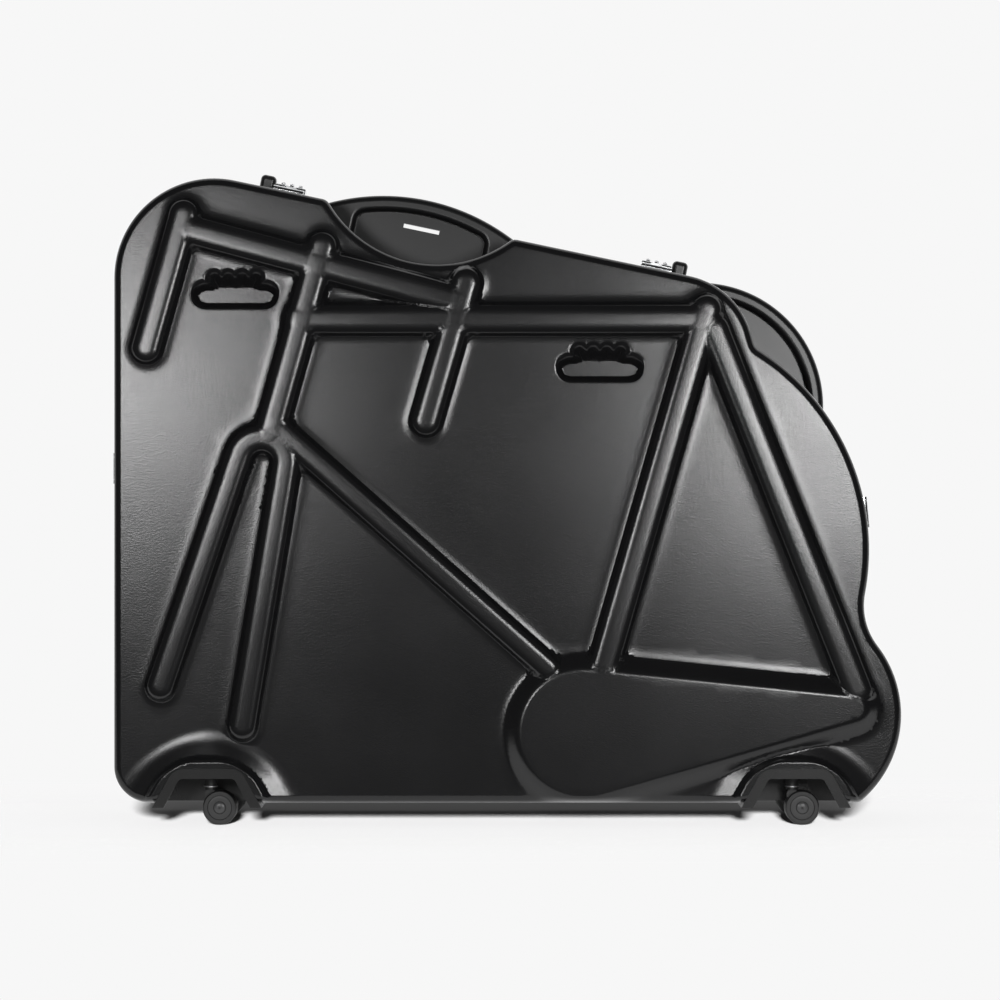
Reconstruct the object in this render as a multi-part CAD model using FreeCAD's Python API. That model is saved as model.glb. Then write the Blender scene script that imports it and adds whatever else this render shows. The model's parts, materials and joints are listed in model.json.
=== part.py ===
import FreeCAD, Part
import math
import os

# Hard bike travel case standing on its casters. Millimetres.
# +X runs along the case towards the narrow end, +Y from the lid to the rear half, +Z up.
# The origin is on the floor under the middle of the case.

V = FreeCAD.Vector
os.makedirs("parts", exist_ok=True)

# Case body
half_depth = 168.0
wall = 3.0
edge_round = 12.0
rim_gap = 1.5
seat_gap = 0.3
base_z = 37.5

# Outline of the case, seen from the lid
left_x = -591.0
base_corner_r = 54.0
shoulder_r = 150.0
top_fall_deg = 11.86
scoop_x = -105.75
scoop_lift = 128.0
scoop_r = 190.0
scoop_corner_r = 14.0
wheel_x = 188.25
wheel_z = 417.0
wheel_r = 355.5
notch_deg = 58.8
notch_r = 14.0
neck_run = 27.5
neck_rise = 92.7
neck_r = 121.5
waist_r = 99.0
heel_x = 422.25
heel_z = 169.5
heel_r = 169.5
heel_corner_r = 16.0

# Raised relief on both faces
relief_h = 17.0
relief_margin = 1.5
rib_w = 63.0
down_tube_w = 52.0
fork_w = 58.0
handlebar_drop = ((-485.0, 919.5), (-541.0, 720.0))
stem_bar = ((-476.0, 897.0), (-79.0, 792.0))
head_tube = ((-278.0, 871.5), (-356.0, 592.0))
seat_post = ((-62.0, 817.5), (-122.0, 610.5))
top_tube = ((-311.0, 763.0), (292.0, 763.0))
seat_tube = ((298.0, 777.0), (145.0, 244.5))
seat_stay = ((310.0, 747.0), (524.0, 207.0))
down_tube = ((-349.0, 604.5), (61.0, 240.0))
crown = (-368.0, 549.0)
crown_r = 36.0
fork_left_foot = (-520.0, 213.0)
fork_right_foot = (-397.0, 153.0)
guard_big = (114.75, 142.5)
guard_big_r = 99.0
guard_small = (516.75, 180.0)
guard_small_r = 21.0
guard_slope = 22.0

# Recessed finger grips
grip_places = ((-409.0, 800.0), (139.0, 690.0))
grip_half = 45.0
grip_r = 20.0
grip_depth = 22.0
lobe_r = 12.0
lobe_pitch = 20.6
lobe_rise = 24.0
lobe_count = 4

# Wheel arches, and the housing that lines each of them
arch_left_x = -450.0
arch_right_x = 432.0
arch_half_low = 79.0
arch_half_high = 50.0
arch_top_z = 90.0
arch_r = 24.0
arch_back = 38.0
flare_band = 15.0
flare_slope = 28.0
housing_gap = 0.4
housing_wall = 4.4
housing_lip = 15.0
housing_set_back = 2.0
housing_foot_z = 31.5

# Casters
caster_y = 100.0
caster_trail = 14.4
wheel_radius = 26.0
tread_w = 11.0
blade_w = 8.0
wheel_side_gap = 0.5
tread_round = 2.75
dish_r = 18.7
dish_d = 1.6
hub_cap_r = 8.8
axle_d = 6.0
axle_hold = 7.7
kingpin_d = 8.0
running_gap = 0.05
fork_boss_r = 10.0
fork_neck_r = 8.5
fork_head_clear = 1.0
post_d = 19.0
post_end_z = 58.8
plate_side = 52.0
plate_t = 3.0
washer_t = 1.5
washer_d = 22.0
caster_bolt_d = 5.0
caster_bolt_pitch = 38.0

# Base hinges
hinge_places = (-240.0, 0.0, 240.0)
hinge_len = 70.0
hinge_z = 32.0
knuckle_d = 10.0
hinge_pin_d = 4.0
leaf_t = 2.2
leaf_reach = 34.0
leaf_rivet_pitch = 44.8
knuckle_count = 5
knuckle_gap = 0.5

# Latches, in their own frame: u along the edge, v towards the rear half, w outwards
lock_left_x = -361.0
lock_right_x = 250.0
latch_left_z = 517.0
latch_right_deg = 5.2
lock_len = 47.0
lock_front = 4.0
lock_back = 44.0
lock_h = 20.0
latch_h = 13.0
latch_plate_t = 3.0
latch_plate_tail = 38.0
tongue_w = 17.0
tongue_t = 5.0
tongue_low = 7.0
tongue_end = 16.0
tongue_gap = 0.6
lip_h_lock = 18.5
lip_h_latch = 14.5
hasp_axis_v = -34.0
hasp_axis_w = 9.0
hasp_barrel_d = 10.0
hasp_pin_d = 4.0
hasp_ear_w = 6.0
hasp_side_gap = 0.4
dial_count = 3
dial_d = 22.0
dial_w = 6.0
dial_gap = 0.4
dial_bore_gap = 0.25
dial_pitch = 13.5
dial_axis_v = 31.0
dial_axis_w = 14.0
dial_shaft_d = 3.0
dial_shaft_inset = 1.0
dial_notches = 10
dial_notch_r = 1.0
dial_notch_out = 0.4
slider_len = 24.0
slider_v = 28.0
slider_h_lock = 30.0
slider_h_latch = 15.0
slider_round = 7.0
slider_gap = 1.0
slider_key_w = 8.0
slider_key_len = 10.0
slider_key_gap = 0.25
slider_slot_low = 0.6
slider_travel = 6.0
rivet_d = 4.0
rivet_head_d = 7.0
rivet_head_t = 1.4
rivet_edge = 4.2
bracket_rivet_gap = 4.9

# Carry handles
handle_rise = 40.0
handle_half_chord = 157.0
side_handle_r = 190.0
side_handle_rise = 73.0
side_handle_deg = 55.6
side_handle_turn = 45.0
handle_lock_gap = 4.0
bar_radial = 24.0
bar_w = 56.0
bar_round = 9.0
web_t = 12.0
pocket_half = 100.0
pocket_corner_r = 14.0
pocket_rim = 9.0
handle_gap = 0.4
foot_t = 7.0
foot_reach = 46.0
slot_len = 56.0
slot_h = 6.5
slot_below_bar = 17.0
top_screw_degs = (-30.0, 0.0, 30.0)
side_screw_degs = (50.0, 42.0)
screw_d = 5.0
screw_head_d = 9.0
screw_head_t = 3.0
screw_seat = 0.15

# Lining and hardware inside
frame_t = 2.0
frame_w = 24.0
gasket_inset = 0.2
liner_t = 10.0
liner_inset = 9.0
liner_clear = 1.0
strap_w = 30.0
strap_t = 2.0
strap_z = (330.0, 640.0)
strap_half = 190.0
buckle_len = 62.0
buckle_w = 44.0
buckle_t = 9.0
buckle_round = 2.7

# How far a cutting shape reaches past the piece that it cuts, and a length past the whole case
over = 1.0
FAR = 3000.0
face_y = -half_depth


def at(point, y=0.0):
    """A point of the outline plane, given as (x, z), at depth y."""
    return V(point[0], y, point[1])


def polar(centre, radius, degrees):
    turn = math.radians(degrees)
    return (centre[0] + radius * math.cos(turn), centre[1] + radius * math.sin(turn))


def degrees_of(centre, point):
    return math.degrees(math.atan2(point[1] - centre[1], point[0] - centre[0]))


def line(a, b):
    return Part.LineSegment(at(a), at(b)).toShape()


def arc(centre, radius, start, end):
    middle = (start + end) / 2
    points = [at(polar(centre, radius, turn)) for turn in (start, middle, end)]
    return Part.Arc(*points).toShape()


def extrude(face, y0, y1):
    """A face of the outline plane as a solid between two depths."""
    solid = face.extrude(V(0, y1 - y0, 0))
    solid.translate(V(0, y0, 0))
    return solid


def box(x0, x1, y0, y1, z0, z1):
    low = V(min(x0, x1), min(y0, y1), min(z0, z1))
    return Part.makeBox(abs(x1 - x0), abs(y1 - y0), abs(z1 - z0), low)


def cylinder(start, end, radius):
    along = end - start
    return Part.makeCylinder(radius, along.Length, start, along)


def disc(point, radius, y0, y1):
    return cylinder(at(point, min(y0, y1)), at(point, max(y0, y1)), radius)


def fuse(shapes):
    whole = shapes[0]
    if len(shapes) > 1:
        whole = whole.multiFuse(shapes[1:])
    return whole.removeSplitter()


def mirrored(shape):
    """The same piece on the rear half."""
    return shape.mirror(V(0, 0, 0), V(0, 1, 0))


def group(shapes):
    return Part.makeCompound(shapes)


def upright_edge(solid, point):
    """The edge of an outline prism that runs in depth through one corner of the outline."""
    def off(edge):
        ends = [vertex.Point for vertex in edge.Vertexes]
        if len(ends) < 2 or abs(ends[0].y - ends[1].y) < 1e-6:
            return FAR
        return max(math.hypot(p.x - point[0], p.z - point[1]) for p in ends)
    return min(solid.Edges, key=off)


def face_edges(solid, y):
    """The edges that lie in the plane at depth y."""
    return [e for e in solid.Edges if all(abs(v.Point.y - y) < 1e-6 for v in e.Vertexes)]


# Corners of the case outline
wheel_centre = (wheel_x, wheel_z)
heel_centre = (heel_x, heel_z)
notch = polar(wheel_centre, wheel_r, notch_deg)
neck = (notch[0] - neck_run, notch[1] + neck_rise)
top_slope = math.tan(math.radians(top_fall_deg))


def top_z(x):
    """Height of the sloping top edge, which runs through the neck."""
    return neck[1] + top_slope * (neck[0] - x)


class Side:
    """A straight side of the outline from a to b, with the case on its right."""

    def __init__(self, a, b):
        length = math.dist(a, b)
        self.start = a
        self.end = b
        self.along = ((b[0] - a[0]) / length, (b[1] - a[1]) / length)
        self.inward = (self.along[1], -self.along[0])

    def moved(self, inward):
        shift = (self.inward[0] * inward, self.inward[1] * inward)
        return Side(added(self.start, shift), added(self.end, shift))

    def foot(self, point):
        run = dot(taken(point, self.start), self.along)
        return (self.start[0] + self.along[0] * run, self.start[1] + self.along[1] * run)


class Bow:
    """A round side of the outline; bulge is 1 where the case is inside the circle and -1 outside."""

    def __init__(self, centre, radius, bulge):
        self.centre = centre
        self.radius = radius
        self.bulge = bulge

    def moved(self, inward):
        return Bow(self.centre, self.radius - self.bulge * inward, self.bulge)

    def foot(self, point):
        away = taken(point, self.centre)
        share = self.radius / math.hypot(*away)
        return added(self.centre, (away[0] * share, away[1] * share))


def added(p, q):
    return (p[0] + q[0], p[1] + q[1])


def taken(p, q):
    return (p[0] - q[0], p[1] - q[1])


def dot(p, q):
    return p[0] * q[0] + p[1] * q[1]


def crossing(one, other, near):
    """Where two sides of the outline meet, out of the places where their full curves cross."""
    if isinstance(one, Bow) and isinstance(other, Side):
        one, other = other, one
    if isinstance(one, Side) and isinstance(other, Side):
        reach = dot(taken(other.start, one.start), other.inward) / dot(one.along, other.inward)
        return added(one.start, (one.along[0] * reach, one.along[1] * reach))
    if isinstance(one, Side):
        middle = one.foot(other.centre)
        direction = one.along
        half = math.sqrt(other.radius ** 2 - math.dist(middle, other.centre) ** 2)
    else:
        apart = math.dist(one.centre, other.centre)
        to_other = taken(other.centre, one.centre)
        share = (one.radius ** 2 - other.radius ** 2 + apart ** 2) / (2 * apart ** 2)
        middle = added(one.centre, (to_other[0] * share, to_other[1] * share))
        direction = (-to_other[1] / apart, to_other[0] / apart)
        half = math.sqrt(one.radius ** 2 - (share * apart) ** 2)
    spots = [added(middle, (direction[0] * s * half, direction[1] * s * half)) for s in (-1, 1)]
    return min(spots, key=lambda spot: math.dist(spot, near))


scoop_centre = (scoop_x, top_z(scoop_x) + scoop_lift)
base_left = (left_x, base_z)
shoulder = (left_x, top_z(left_x))

left_side = Side(base_left, shoulder)
top_side = Side(shoulder, neck)
scoop_bow = Bow(scoop_centre, scoop_r, -1)
neck_side = Side(neck, notch)
wheel_bow = Bow(wheel_centre, wheel_r, 1)
heel_bow = Bow(heel_centre, heel_r, 1)
base_side = Side((heel_x, base_z), base_left)

scoop_left = crossing(top_side, scoop_bow, shoulder)
scoop_right = crossing(top_side, scoop_bow, neck)
waist = crossing(wheel_bow, heel_bow, (heel_x + heel_r, wheel_z))
heel_end = crossing(heel_bow, base_side, (heel_x + heel_r, base_z))

# Each side of the outline, with the corner at its end: place, rounding, and 1 where it sticks out
sides = [left_side, top_side, scoop_bow, top_side, neck_side, wheel_bow, heel_bow, base_side]
corners = [
    (shoulder, shoulder_r, 1),
    (scoop_left, scoop_corner_r, 1),
    (scoop_right, scoop_corner_r, 1),
    (neck, neck_r, 1),
    (notch, notch_r, -1),
    (waist, waist_r, -1),
    (heel_end, heel_corner_r, 1),
    (base_left, base_corner_r, 1),
]


def corner_centre(index):
    """Centre of the rounding between a side and the next one."""
    point, radius, out = corners[index]
    one = sides[index].moved(out * radius)
    other = sides[(index + 1) % len(sides)].moved(out * radius)
    return crossing(one, other, point)


corner_centres = [corner_centre(index) for index in range(len(sides))]


def arc_between(start, end, centre, radius):
    """The short arc from start to end on a circle."""
    middle = Bow(centre, radius, 1).foot(((start[0] + end[0]) / 2, (start[1] + end[1]) / 2))
    return Part.Arc(at(start), at(middle), at(end)).toShape()


def outline_face(offset):
    """The case outline as a face, moved outwards by an offset; a rounding that is used up turns sharp."""
    moved = [side.moved(-offset) for side in sides]
    joins = []
    for index, side in enumerate(moved):
        point, radius, out = corners[index]
        after = moved[(index + 1) % len(moved)]
        radius += out * offset
        if radius > seat_gap:
            centre = corner_centres[index]
            joins.append((side.foot(centre), after.foot(centre), radius))
        else:
            meeting = crossing(side, after, point)
            joins.append((meeting, meeting, 0.0))
    edges = []
    for index, side in enumerate(moved):
        start = joins[index - 1][1]
        end, after, radius = joins[index]
        if isinstance(side, Side):
            edges.append(line(start, end))
        else:
            edges.append(arc_between(start, end, side.centre, side.radius))
        if radius:
            edges.append(arc_between(end, after, corner_centres[index], radius))
    return Part.Face(Part.Wire(edges))


def slab(offset, y0, y1):
    """The outline grown by an offset, as a solid between two depths."""
    return extrude(outline_face(offset), y0, y1)


# Relief
def rib_radius(width):
    return (width ** 2 / 4 + relief_h ** 2) / (2 * relief_h)


def rib(ends, width, inset):
    """A straight raised tube with domed ends, sunk in the face so that its height shows."""
    radius = rib_radius(width)
    axis_y = face_y + radius - relief_h
    a, b = at(ends[0], axis_y), at(ends[1], axis_y)
    return capsule(a, b, radius - inset)


def capsule(a, b, radius, flat_start=False):
    """A round bar from a to b with domed ends; the first end can be flat instead."""
    along = b - a
    length = along.Length
    side = radius * math.sqrt(0.5)
    tip_a, tip_b = V(0, 0, 0 if flat_start else -radius), V(0, 0, length + radius)
    edge_a, edge_b = V(radius, 0, 0), V(radius, 0, length)
    first = Part.LineSegment(tip_a, edge_a) if flat_start else Part.Arc(tip_a, V(side, 0, -side), edge_a)
    edges = [
        first.toShape(),
        Part.LineSegment(edge_a, edge_b).toShape(),
        Part.Arc(edge_b, V(side, 0, length + side), tip_b).toShape(),
        Part.LineSegment(tip_b, tip_a).toShape(),
    ]
    solid = Part.Face(Part.Wire(edges)).revolve(V(0, 0, 0), V(0, 0, 1), 360)
    solid.Placement = FreeCAD.Placement(a, FreeCAD.Rotation(V(0, 0, 1), along))
    return solid


def fork(inset):
    """The two fork legs and the bend that joins them at the crown, as one bent bar."""
    radius = rib_radius(fork_w)
    axis_y = face_y + radius - relief_h
    reach_left = math.dist(crown, fork_left_foot)
    reach_right = math.dist(crown, fork_right_foot)
    left_turn = degrees_of(crown, fork_left_foot) % 360 - math.degrees(math.acos(crown_r / reach_left))
    right_turn = degrees_of(crown, fork_right_foot) % 360 + math.degrees(math.acos(crown_r / reach_right))
    left_top = at(polar(crown, crown_r, left_turn), axis_y)
    right_top = at(polar(crown, crown_r, right_turn), axis_y)
    left_foot = at(fork_left_foot, axis_y)
    right_foot = at(fork_right_foot, axis_y)
    left_leg = capsule(left_top, left_foot, radius - inset, flat_start=True)
    right_leg = capsule(right_top, right_foot, radius - inset, flat_start=True)
    section = Part.Face(Part.Wire(Part.makeCircle(radius - inset, right_top, right_foot - right_top)))
    bend = section.revolve(at(crown, axis_y), V(0, -1, 0), (left_turn - right_turn) % 360)
    return left_leg.multiFuse([right_leg, bend])


def guard_wire(grow, y):
    """Teardrop round a big and a small circle, each grown by the same amount."""
    big, small = guard_big_r + grow, guard_small_r + grow
    lean = degrees_of(guard_big, guard_small)
    spread = math.degrees(math.acos((big - small) / math.dist(guard_big, guard_small)))
    up, down = lean + spread, lean - spread
    edges = [
        arc(guard_big, big, up, down + 360),
        line(polar(guard_big, big, down), polar(guard_small, small, down)),
        arc(guard_small, small, down, up),
        line(polar(guard_small, small, up), polar(guard_big, big, up)),
    ]
    wire = Part.Wire(edges)
    wire.translate(V(0, y, 0))
    return wire


def slope_shift(slope, inset):
    """How far a sloped side moves in its own plane when the wall is taken off it."""
    return inset * (math.hypot(slope, relief_h) / relief_h)


def guard(inset):
    """The raised chain guard: a flat teardrop with a sloped border."""
    shift = slope_shift(guard_slope, inset) - inset * guard_slope / relief_h
    low = guard_wire(guard_slope * 2 - shift, face_y + inset + relief_h)
    high = guard_wire(-shift, face_y - relief_h + inset)
    return Part.makeLoft([low, high], True, True)


def arch_prism(centre_x, grow, y0, y1, foot_z=0.0):
    """The wheel arch as a solid, its sides and top moved out by the same amount."""
    run = arch_half_low - arch_half_high
    rise = arch_top_z - base_z
    lean = run / rise
    side = grow * math.hypot(1, lean)
    low_z = foot_z
    half_low = arch_half_low + side + lean * (base_z - low_z)
    high_z = arch_top_z + grow
    half_high = arch_half_high + side - lean * grow
    left_low, right_low = (centre_x - half_low, low_z), (centre_x + half_low, low_z)
    left_high, right_high = (centre_x - half_high, high_z), (centre_x + half_high, high_z)
    edges = [
        line(left_low, left_high),
        line(left_high, right_high),
        line(right_high, right_low),
        line(right_low, left_low),
    ]
    prism = extrude(Part.Face(Part.Wire(edges)), y0, y1)
    corners = [upright_edge(prism, left_high), upright_edge(prism, right_high)]
    return prism.makeFillet(arch_r + grow, corners)


def arch_wire(centre_x, grow, y):
    solid = arch_prism(centre_x, grow, y, y - over)
    return Part.Wire(Part.__sortEdges__(face_edges(solid, y)))


def flare(centre_x, inset):
    """The raised border round a wheel arch, sloping down to the face."""
    shift = slope_shift(flare_slope, inset) - inset * flare_slope / relief_h
    low = arch_wire(centre_x, flare_band + 2 * flare_slope - shift, face_y + inset + relief_h)
    high = arch_wire(centre_x, flare_band - shift, face_y - relief_h + inset)
    return Part.makeLoft([low, high], True, True)


def grip_cut(centre, grow):
    """A finger grip: a long slot with a scalloped upper edge."""
    y0 = face_y - relief_h
    y1 = face_y + grip_depth + grow
    x, z = centre
    r = grip_r + grow
    pieces = [
        box(x - grip_half, x + grip_half, y0, y1, z - r, z + r),
        disc((x - grip_half, z), r, y0, y1),
        disc((x + grip_half, z), r, y0, y1),
    ]
    for k in range(lobe_count):
        lobe_x = x + (k - (lobe_count - 1) / 2) * lobe_pitch
        pieces.append(disc((lobe_x, z + lobe_rise), lobe_r + grow, y0, y1))
        pieces.append(box(lobe_x - lobe_r - grow, lobe_x + lobe_r + grow, y0, y1, z, z + lobe_rise))
    return fuse(pieces)


def half_solid(inset):
    """One half of the case as a filled block with its relief, its surface moved in by an inset."""
    y_face = face_y + inset
    y_rim = -rim_gap if inset == 0 else rim_gap
    block = slab(-inset, y_face, y_rim)
    block = block.makeFillet(edge_round - inset, face_edges(block, y_face))
    straight = [handlebar_drop, stem_bar, head_tube, seat_post, top_tube, seat_tube, seat_stay]
    relief = [rib(ends, rib_w, inset) for ends in straight]
    relief.append(rib(down_tube, down_tube_w, inset))
    relief.append(fork(inset))
    relief.append(guard(inset))
    relief.extend(flare(x, inset) for x in (arch_left_x, arch_right_x))
    keep = slab(-inset - relief_margin, face_y - relief_h * 2, y_rim)
    relief = [piece.common(keep) for piece in relief]
    solid = block.multiFuse(relief)
    for place in grip_places:
        solid = solid.cut(grip_cut(place, inset))
    return solid


def lid_shell():
    shell = half_solid(0.0).cut(half_solid(wall))
    for x in (arch_left_x, arch_right_x):
        shell = shell.cut(arch_prism(x, 0.0, face_y - relief_h * 2, -arch_back))
    return shell


def wheel_housing(centre_x):
    """The liner of a wheel arch: walls, ceiling, back and a lip round the mouth, open below."""
    front = face_y - relief_h + housing_set_back
    back = -arch_back - housing_gap
    body = arch_prism(centre_x, -housing_gap, front, back, housing_foot_z)
    hollow = arch_prism(centre_x, -housing_gap - housing_wall, front + housing_wall, back - housing_wall)
    mouth = arch_prism(centre_x, -housing_gap - housing_lip, front - housing_wall, front + housing_wall * 2)
    return body.cut(hollow).cut(mouth)


ceiling_z = arch_top_z - housing_gap - housing_wall


# Casters, made at a centre in the plan and then used on both halves
def bolt_spots(x, y):
    half = caster_bolt_pitch / 2
    return [(x + a * half, y + b * half) for a in (-1, 1) for b in (-1, 1)]


def caster_mount(x, y):
    """Plate under the housing ceiling with the post that takes the kingpin."""
    top = ceiling_z
    half = plate_side / 2
    plate = box(x - half, x + half, y - half, y + half, top - plate_t, top)
    post = cylinder(V(x, y, post_end_z), V(x, y, top - plate_t), post_d / 2)
    mount = fuse([plate, post])
    mount = mount.cut(cylinder(V(x, y, post_end_z), V(x, y, top - plate_t), kingpin_d / 2 + running_gap))
    for a, b in bolt_spots(x, y):
        mount = mount.cut(cylinder(V(a, b, top - plate_t), V(a, b, top), caster_bolt_d / 2))
    return mount


def caster_bolts(x, y):
    """Screws up through the plate into the housing ceiling."""
    bolts = []
    low = ceiling_z - plate_t
    for a, b in bolt_spots(x, y):
        shank = cylinder(V(a, b, low), V(a, b, ceiling_z + housing_wall), caster_bolt_d / 2)
        head = cylinder(V(a, b, low - screw_head_t), V(a, b, low), screw_head_d / 2)
        bolts.append(fuse([shank, head]))
    return bolts


def kingpin(x, y):
    pin = cylinder(V(x, y, post_end_z - seat_gap), V(x, y, ceiling_z - plate_t - seat_gap), kingpin_d / 2)
    top = post_end_z - seat_gap
    washer = cylinder(V(x, y, top - washer_t), V(x, y, top), washer_d / 2)
    return fuse([pin, washer])


def caster_fork(x, y):
    """Blade between the twin wheels, with a round head under the kingpin's washer."""
    head_top = post_end_z - seat_gap - washer_t
    head_low = wheel_radius * 2 + fork_head_clear
    head = cylinder(V(x, y, head_low), V(x, y, head_top), post_d / 2)
    half = blade_w / 2
    hub = (x + caster_trail, wheel_radius)
    stem = (x, head_low - fork_neck_r + fork_head_clear)
    lean = degrees_of(stem, hub)
    spread = math.degrees(math.acos((fork_neck_r - fork_boss_r) / math.dist(stem, hub)))
    edges = [
        arc(stem, fork_neck_r, lean + spread, lean - spread + 360),
        line(polar(stem, fork_neck_r, lean - spread), polar(hub, fork_boss_r, lean - spread)),
        arc(hub, fork_boss_r, lean - spread, lean + spread),
        line(polar(hub, fork_boss_r, lean + spread), polar(stem, fork_neck_r, lean + spread)),
    ]
    blade = extrude(Part.Face(Part.Wire(edges)), y - half, y + half)
    whole = fuse([blade, head])
    return whole.cut(disc(hub, axle_d / 2 + running_gap, y - half, y + half))


def caster_wheels(x, y):
    """Twin wheels with a rounded tread and a dished outer face."""
    hub = (x + caster_trail, wheel_radius)
    wheels = []
    for side in (-1, 1):
        inner = blade_w / 2 + wheel_side_gap
        y0, y1 = y + side * inner, y + side * (inner + tread_w)
        wheel = disc(hub, wheel_radius, y0, y1)
        rims = [e for e in wheel.Edges if e.Closed]
        wheel = wheel.makeFillet(tread_round, rims)
        floor = y1 - side * dish_d
        dish = disc(hub, dish_r, floor, y1).cut(disc(hub, hub_cap_r, floor, y1))
        bore = disc(hub, axle_d / 2, y0, y0 + side * axle_hold)
        wheels.append(wheel.cut(dish).cut(bore))
    return wheels


def caster_axle(x, y):
    hub = (x + caster_trail, wheel_radius)
    half = blade_w / 2 + wheel_side_gap + axle_hold
    return disc(hub, axle_d / 2, y - half, y + half)


# Hinges
def knuckle_spans(centre_x):
    step = hinge_len / knuckle_count
    starts = [centre_x - hinge_len / 2 + k * step for k in range(knuckle_count)]
    return [(x + knuckle_gap / 2, x + step - knuckle_gap / 2) for x in starts]


def hinge_leaf(centre_x, side):
    """A leaf under the base; side is -1 on the lid and +1 on the rear half."""
    top = base_z - seat_gap
    plate = box(centre_x - hinge_len / 2, centre_x + hinge_len / 2,
                side * knuckle_d / 2, side * leaf_reach, top - leaf_t, top)
    pieces = [plate]
    first = 0 if side > 0 else 1
    for x0, x1 in knuckle_spans(centre_x)[first::2]:
        pieces.append(cylinder(V(x0, 0, hinge_z), V(x1, 0, hinge_z), knuckle_d / 2))
        pieces.append(box(x0, x1, 0, side * knuckle_d, top - leaf_t, top - seat_gap))
    leaf = fuse(pieces)
    bore = hinge_pin_d / 2 + running_gap
    leaf = leaf.cut(cylinder(V(centre_x - hinge_len, 0, hinge_z), V(centre_x + hinge_len, 0, hinge_z), bore))
    for x, y in leaf_rivet_spots(centre_x, side):
        leaf = leaf.cut(cylinder(V(x, y, top - leaf_t), V(x, y, top), rivet_d / 2))
    return leaf


def leaf_rivet_spots(centre_x, side):
    y = side * (leaf_reach + knuckle_d) / 2
    return [(centre_x + a * leaf_rivet_pitch / 2, y) for a in (-1, 1)]


def hinge_pin(centre_x):
    half = hinge_len / 2
    return cylinder(V(centre_x - half, 0, hinge_z), V(centre_x + half, 0, hinge_z), hinge_pin_d / 2)


def rivet(seat, inward, reach):
    """A rivet with its head outside; seat is where the head meets the plate."""
    inward = V(inward).normalize()
    head = cylinder(seat - inward * rivet_head_t, seat, rivet_head_d / 2)
    shank = cylinder(seat, seat + inward * reach, rivet_d / 2)
    return fuse([head, shank])


def rivet_hole(seat, inward, reach):
    inward = V(inward).normalize()
    return cylinder(seat, seat + inward * (reach + wall), rivet_d / 2)


# Latches
class LatchPlace:
    """Where a latch sits on the case edge, which way it faces and what it carries."""

    def __init__(self, name, point, turn, flip, lock):
        self.name = name
        self.flip = flip
        self.lock = lock
        self.placement = FreeCAD.Placement(at(point), FreeCAD.Rotation(V(0, 1, 0), turn))
        self.height = lock_h if lock else latch_h
        self.lip = lip_h_lock if lock else lip_h_latch
        self.slider_h = slider_h_lock if lock else slider_h_latch

    def put(self, shape):
        """Moves a piece from the latch's own frame to the case."""
        shape = shape.copy()
        if self.flip:
            shape = shape.mirror(V(0, 0, 0), V(1, 0, 0))
        shape.Placement = self.placement.multiply(shape.Placement)
        return shape

    def spot(self, u, v, w):
        return self.placement.multVec(V(-u if self.flip else u, v, w))

    def direction(self, u, v, w):
        return self.placement.Rotation.multVec(V(-u if self.flip else u, v, w))


right_latch_point = polar(wheel_centre, wheel_r, latch_right_deg)
latches = [
    LatchPlace("top_left_lock", (lock_left_x, top_z(lock_left_x)), top_fall_deg, False, True),
    LatchPlace("top_right_lock", (lock_right_x, top_z(lock_right_x)), top_fall_deg, True, True),
    LatchPlace("left_latch", (left_x, latch_left_z), -90.0, False, False),
    LatchPlace("right_latch", right_latch_point, 90.0 - latch_right_deg, True, False),
]
case_skin = slab(seat_gap, -FAR / 2, FAR / 2)
tongue_u = lock_len / 2


def dial_spots():
    return [lock_len / 2 + (k - (dial_count - 1) / 2) * dial_pitch for k in range(dial_count)]


def slider_slot():
    middle = -slider_gap - slider_len / 2
    reach = slider_key_len / 2 + slider_gap
    return (middle - reach - slider_travel, middle + reach)


def lock_body(place):
    """Base plate with the raised housing, the tongue's slot and, on a lock, the dials' slots."""
    plate = box(-latch_plate_tail, lock_len, lock_front, lock_back, -wall, latch_plate_t)
    housing = box(0, lock_len, lock_front, lock_back, 0, place.height)
    crest = [e for e in housing.Edges if all(v.Point.z > place.height - 1e-6 for v in e.Vertexes)]
    housing = housing.makeFillet(latch_plate_t, crest)
    body = fuse([plate, housing])
    half = tongue_w / 2 + tongue_gap
    body = body.cut(box(tongue_u - half, tongue_u + half, lock_front - over, tongue_end + tongue_gap,
                        tongue_low - tongue_gap, place.height + over))
    if place.lock:
        for u in dial_spots():
            reach = dial_w / 2 + dial_gap
            body = body.cut(dial_bar(u - reach, u + reach, dial_d / 2 + dial_gap))
        body = fuse([body, dial_bar(dial_shaft_inset, lock_len - dial_shaft_inset, dial_shaft_d / 2)])
    slot_a, slot_b = slider_slot()
    middle_v = (lock_front + lock_back) / 2
    half = slider_key_w / 2 + slider_key_gap
    body = body.cut(box(slot_a, slot_b, middle_v - half, middle_v + half, slider_slot_low, latch_plate_t))
    return riveted(place, body, body_rivet_spots())


def dial_bar(u0, u1, radius):
    """A round bar on the dials' axis."""
    return cylinder(V(u0, dial_axis_v, dial_axis_w), V(u1, dial_axis_v, dial_axis_w), radius)


def riveted(place, piece, spots):
    """A latch piece put on the case, shaped to the case's skin and bored for its rivets."""
    piece = place.put(piece).cut(case_skin)
    inward = place.direction(0, 0, -1)
    for u, v in spots:
        piece = piece.cut(rivet_hole(place.spot(u, v, latch_plate_t), inward, wall + latch_plate_t))
    return piece


def body_rivet_spots():
    u = -latch_plate_tail + rivet_edge
    return [(u, lock_front + rivet_edge), (u, lock_back - rivet_edge)]


def bracket_rivet_spots():
    v = hasp_axis_v + hasp_barrel_d + bracket_rivet_gap
    return [(hasp_ear_w, v), (lock_len - hasp_ear_w, v)]


def hasp_bar(u0, u1, radius):
    """A round bar on the hasp's axis."""
    return cylinder(V(u0, hasp_axis_v, hasp_axis_w), V(u1, hasp_axis_v, hasp_axis_w), radius)


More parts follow.
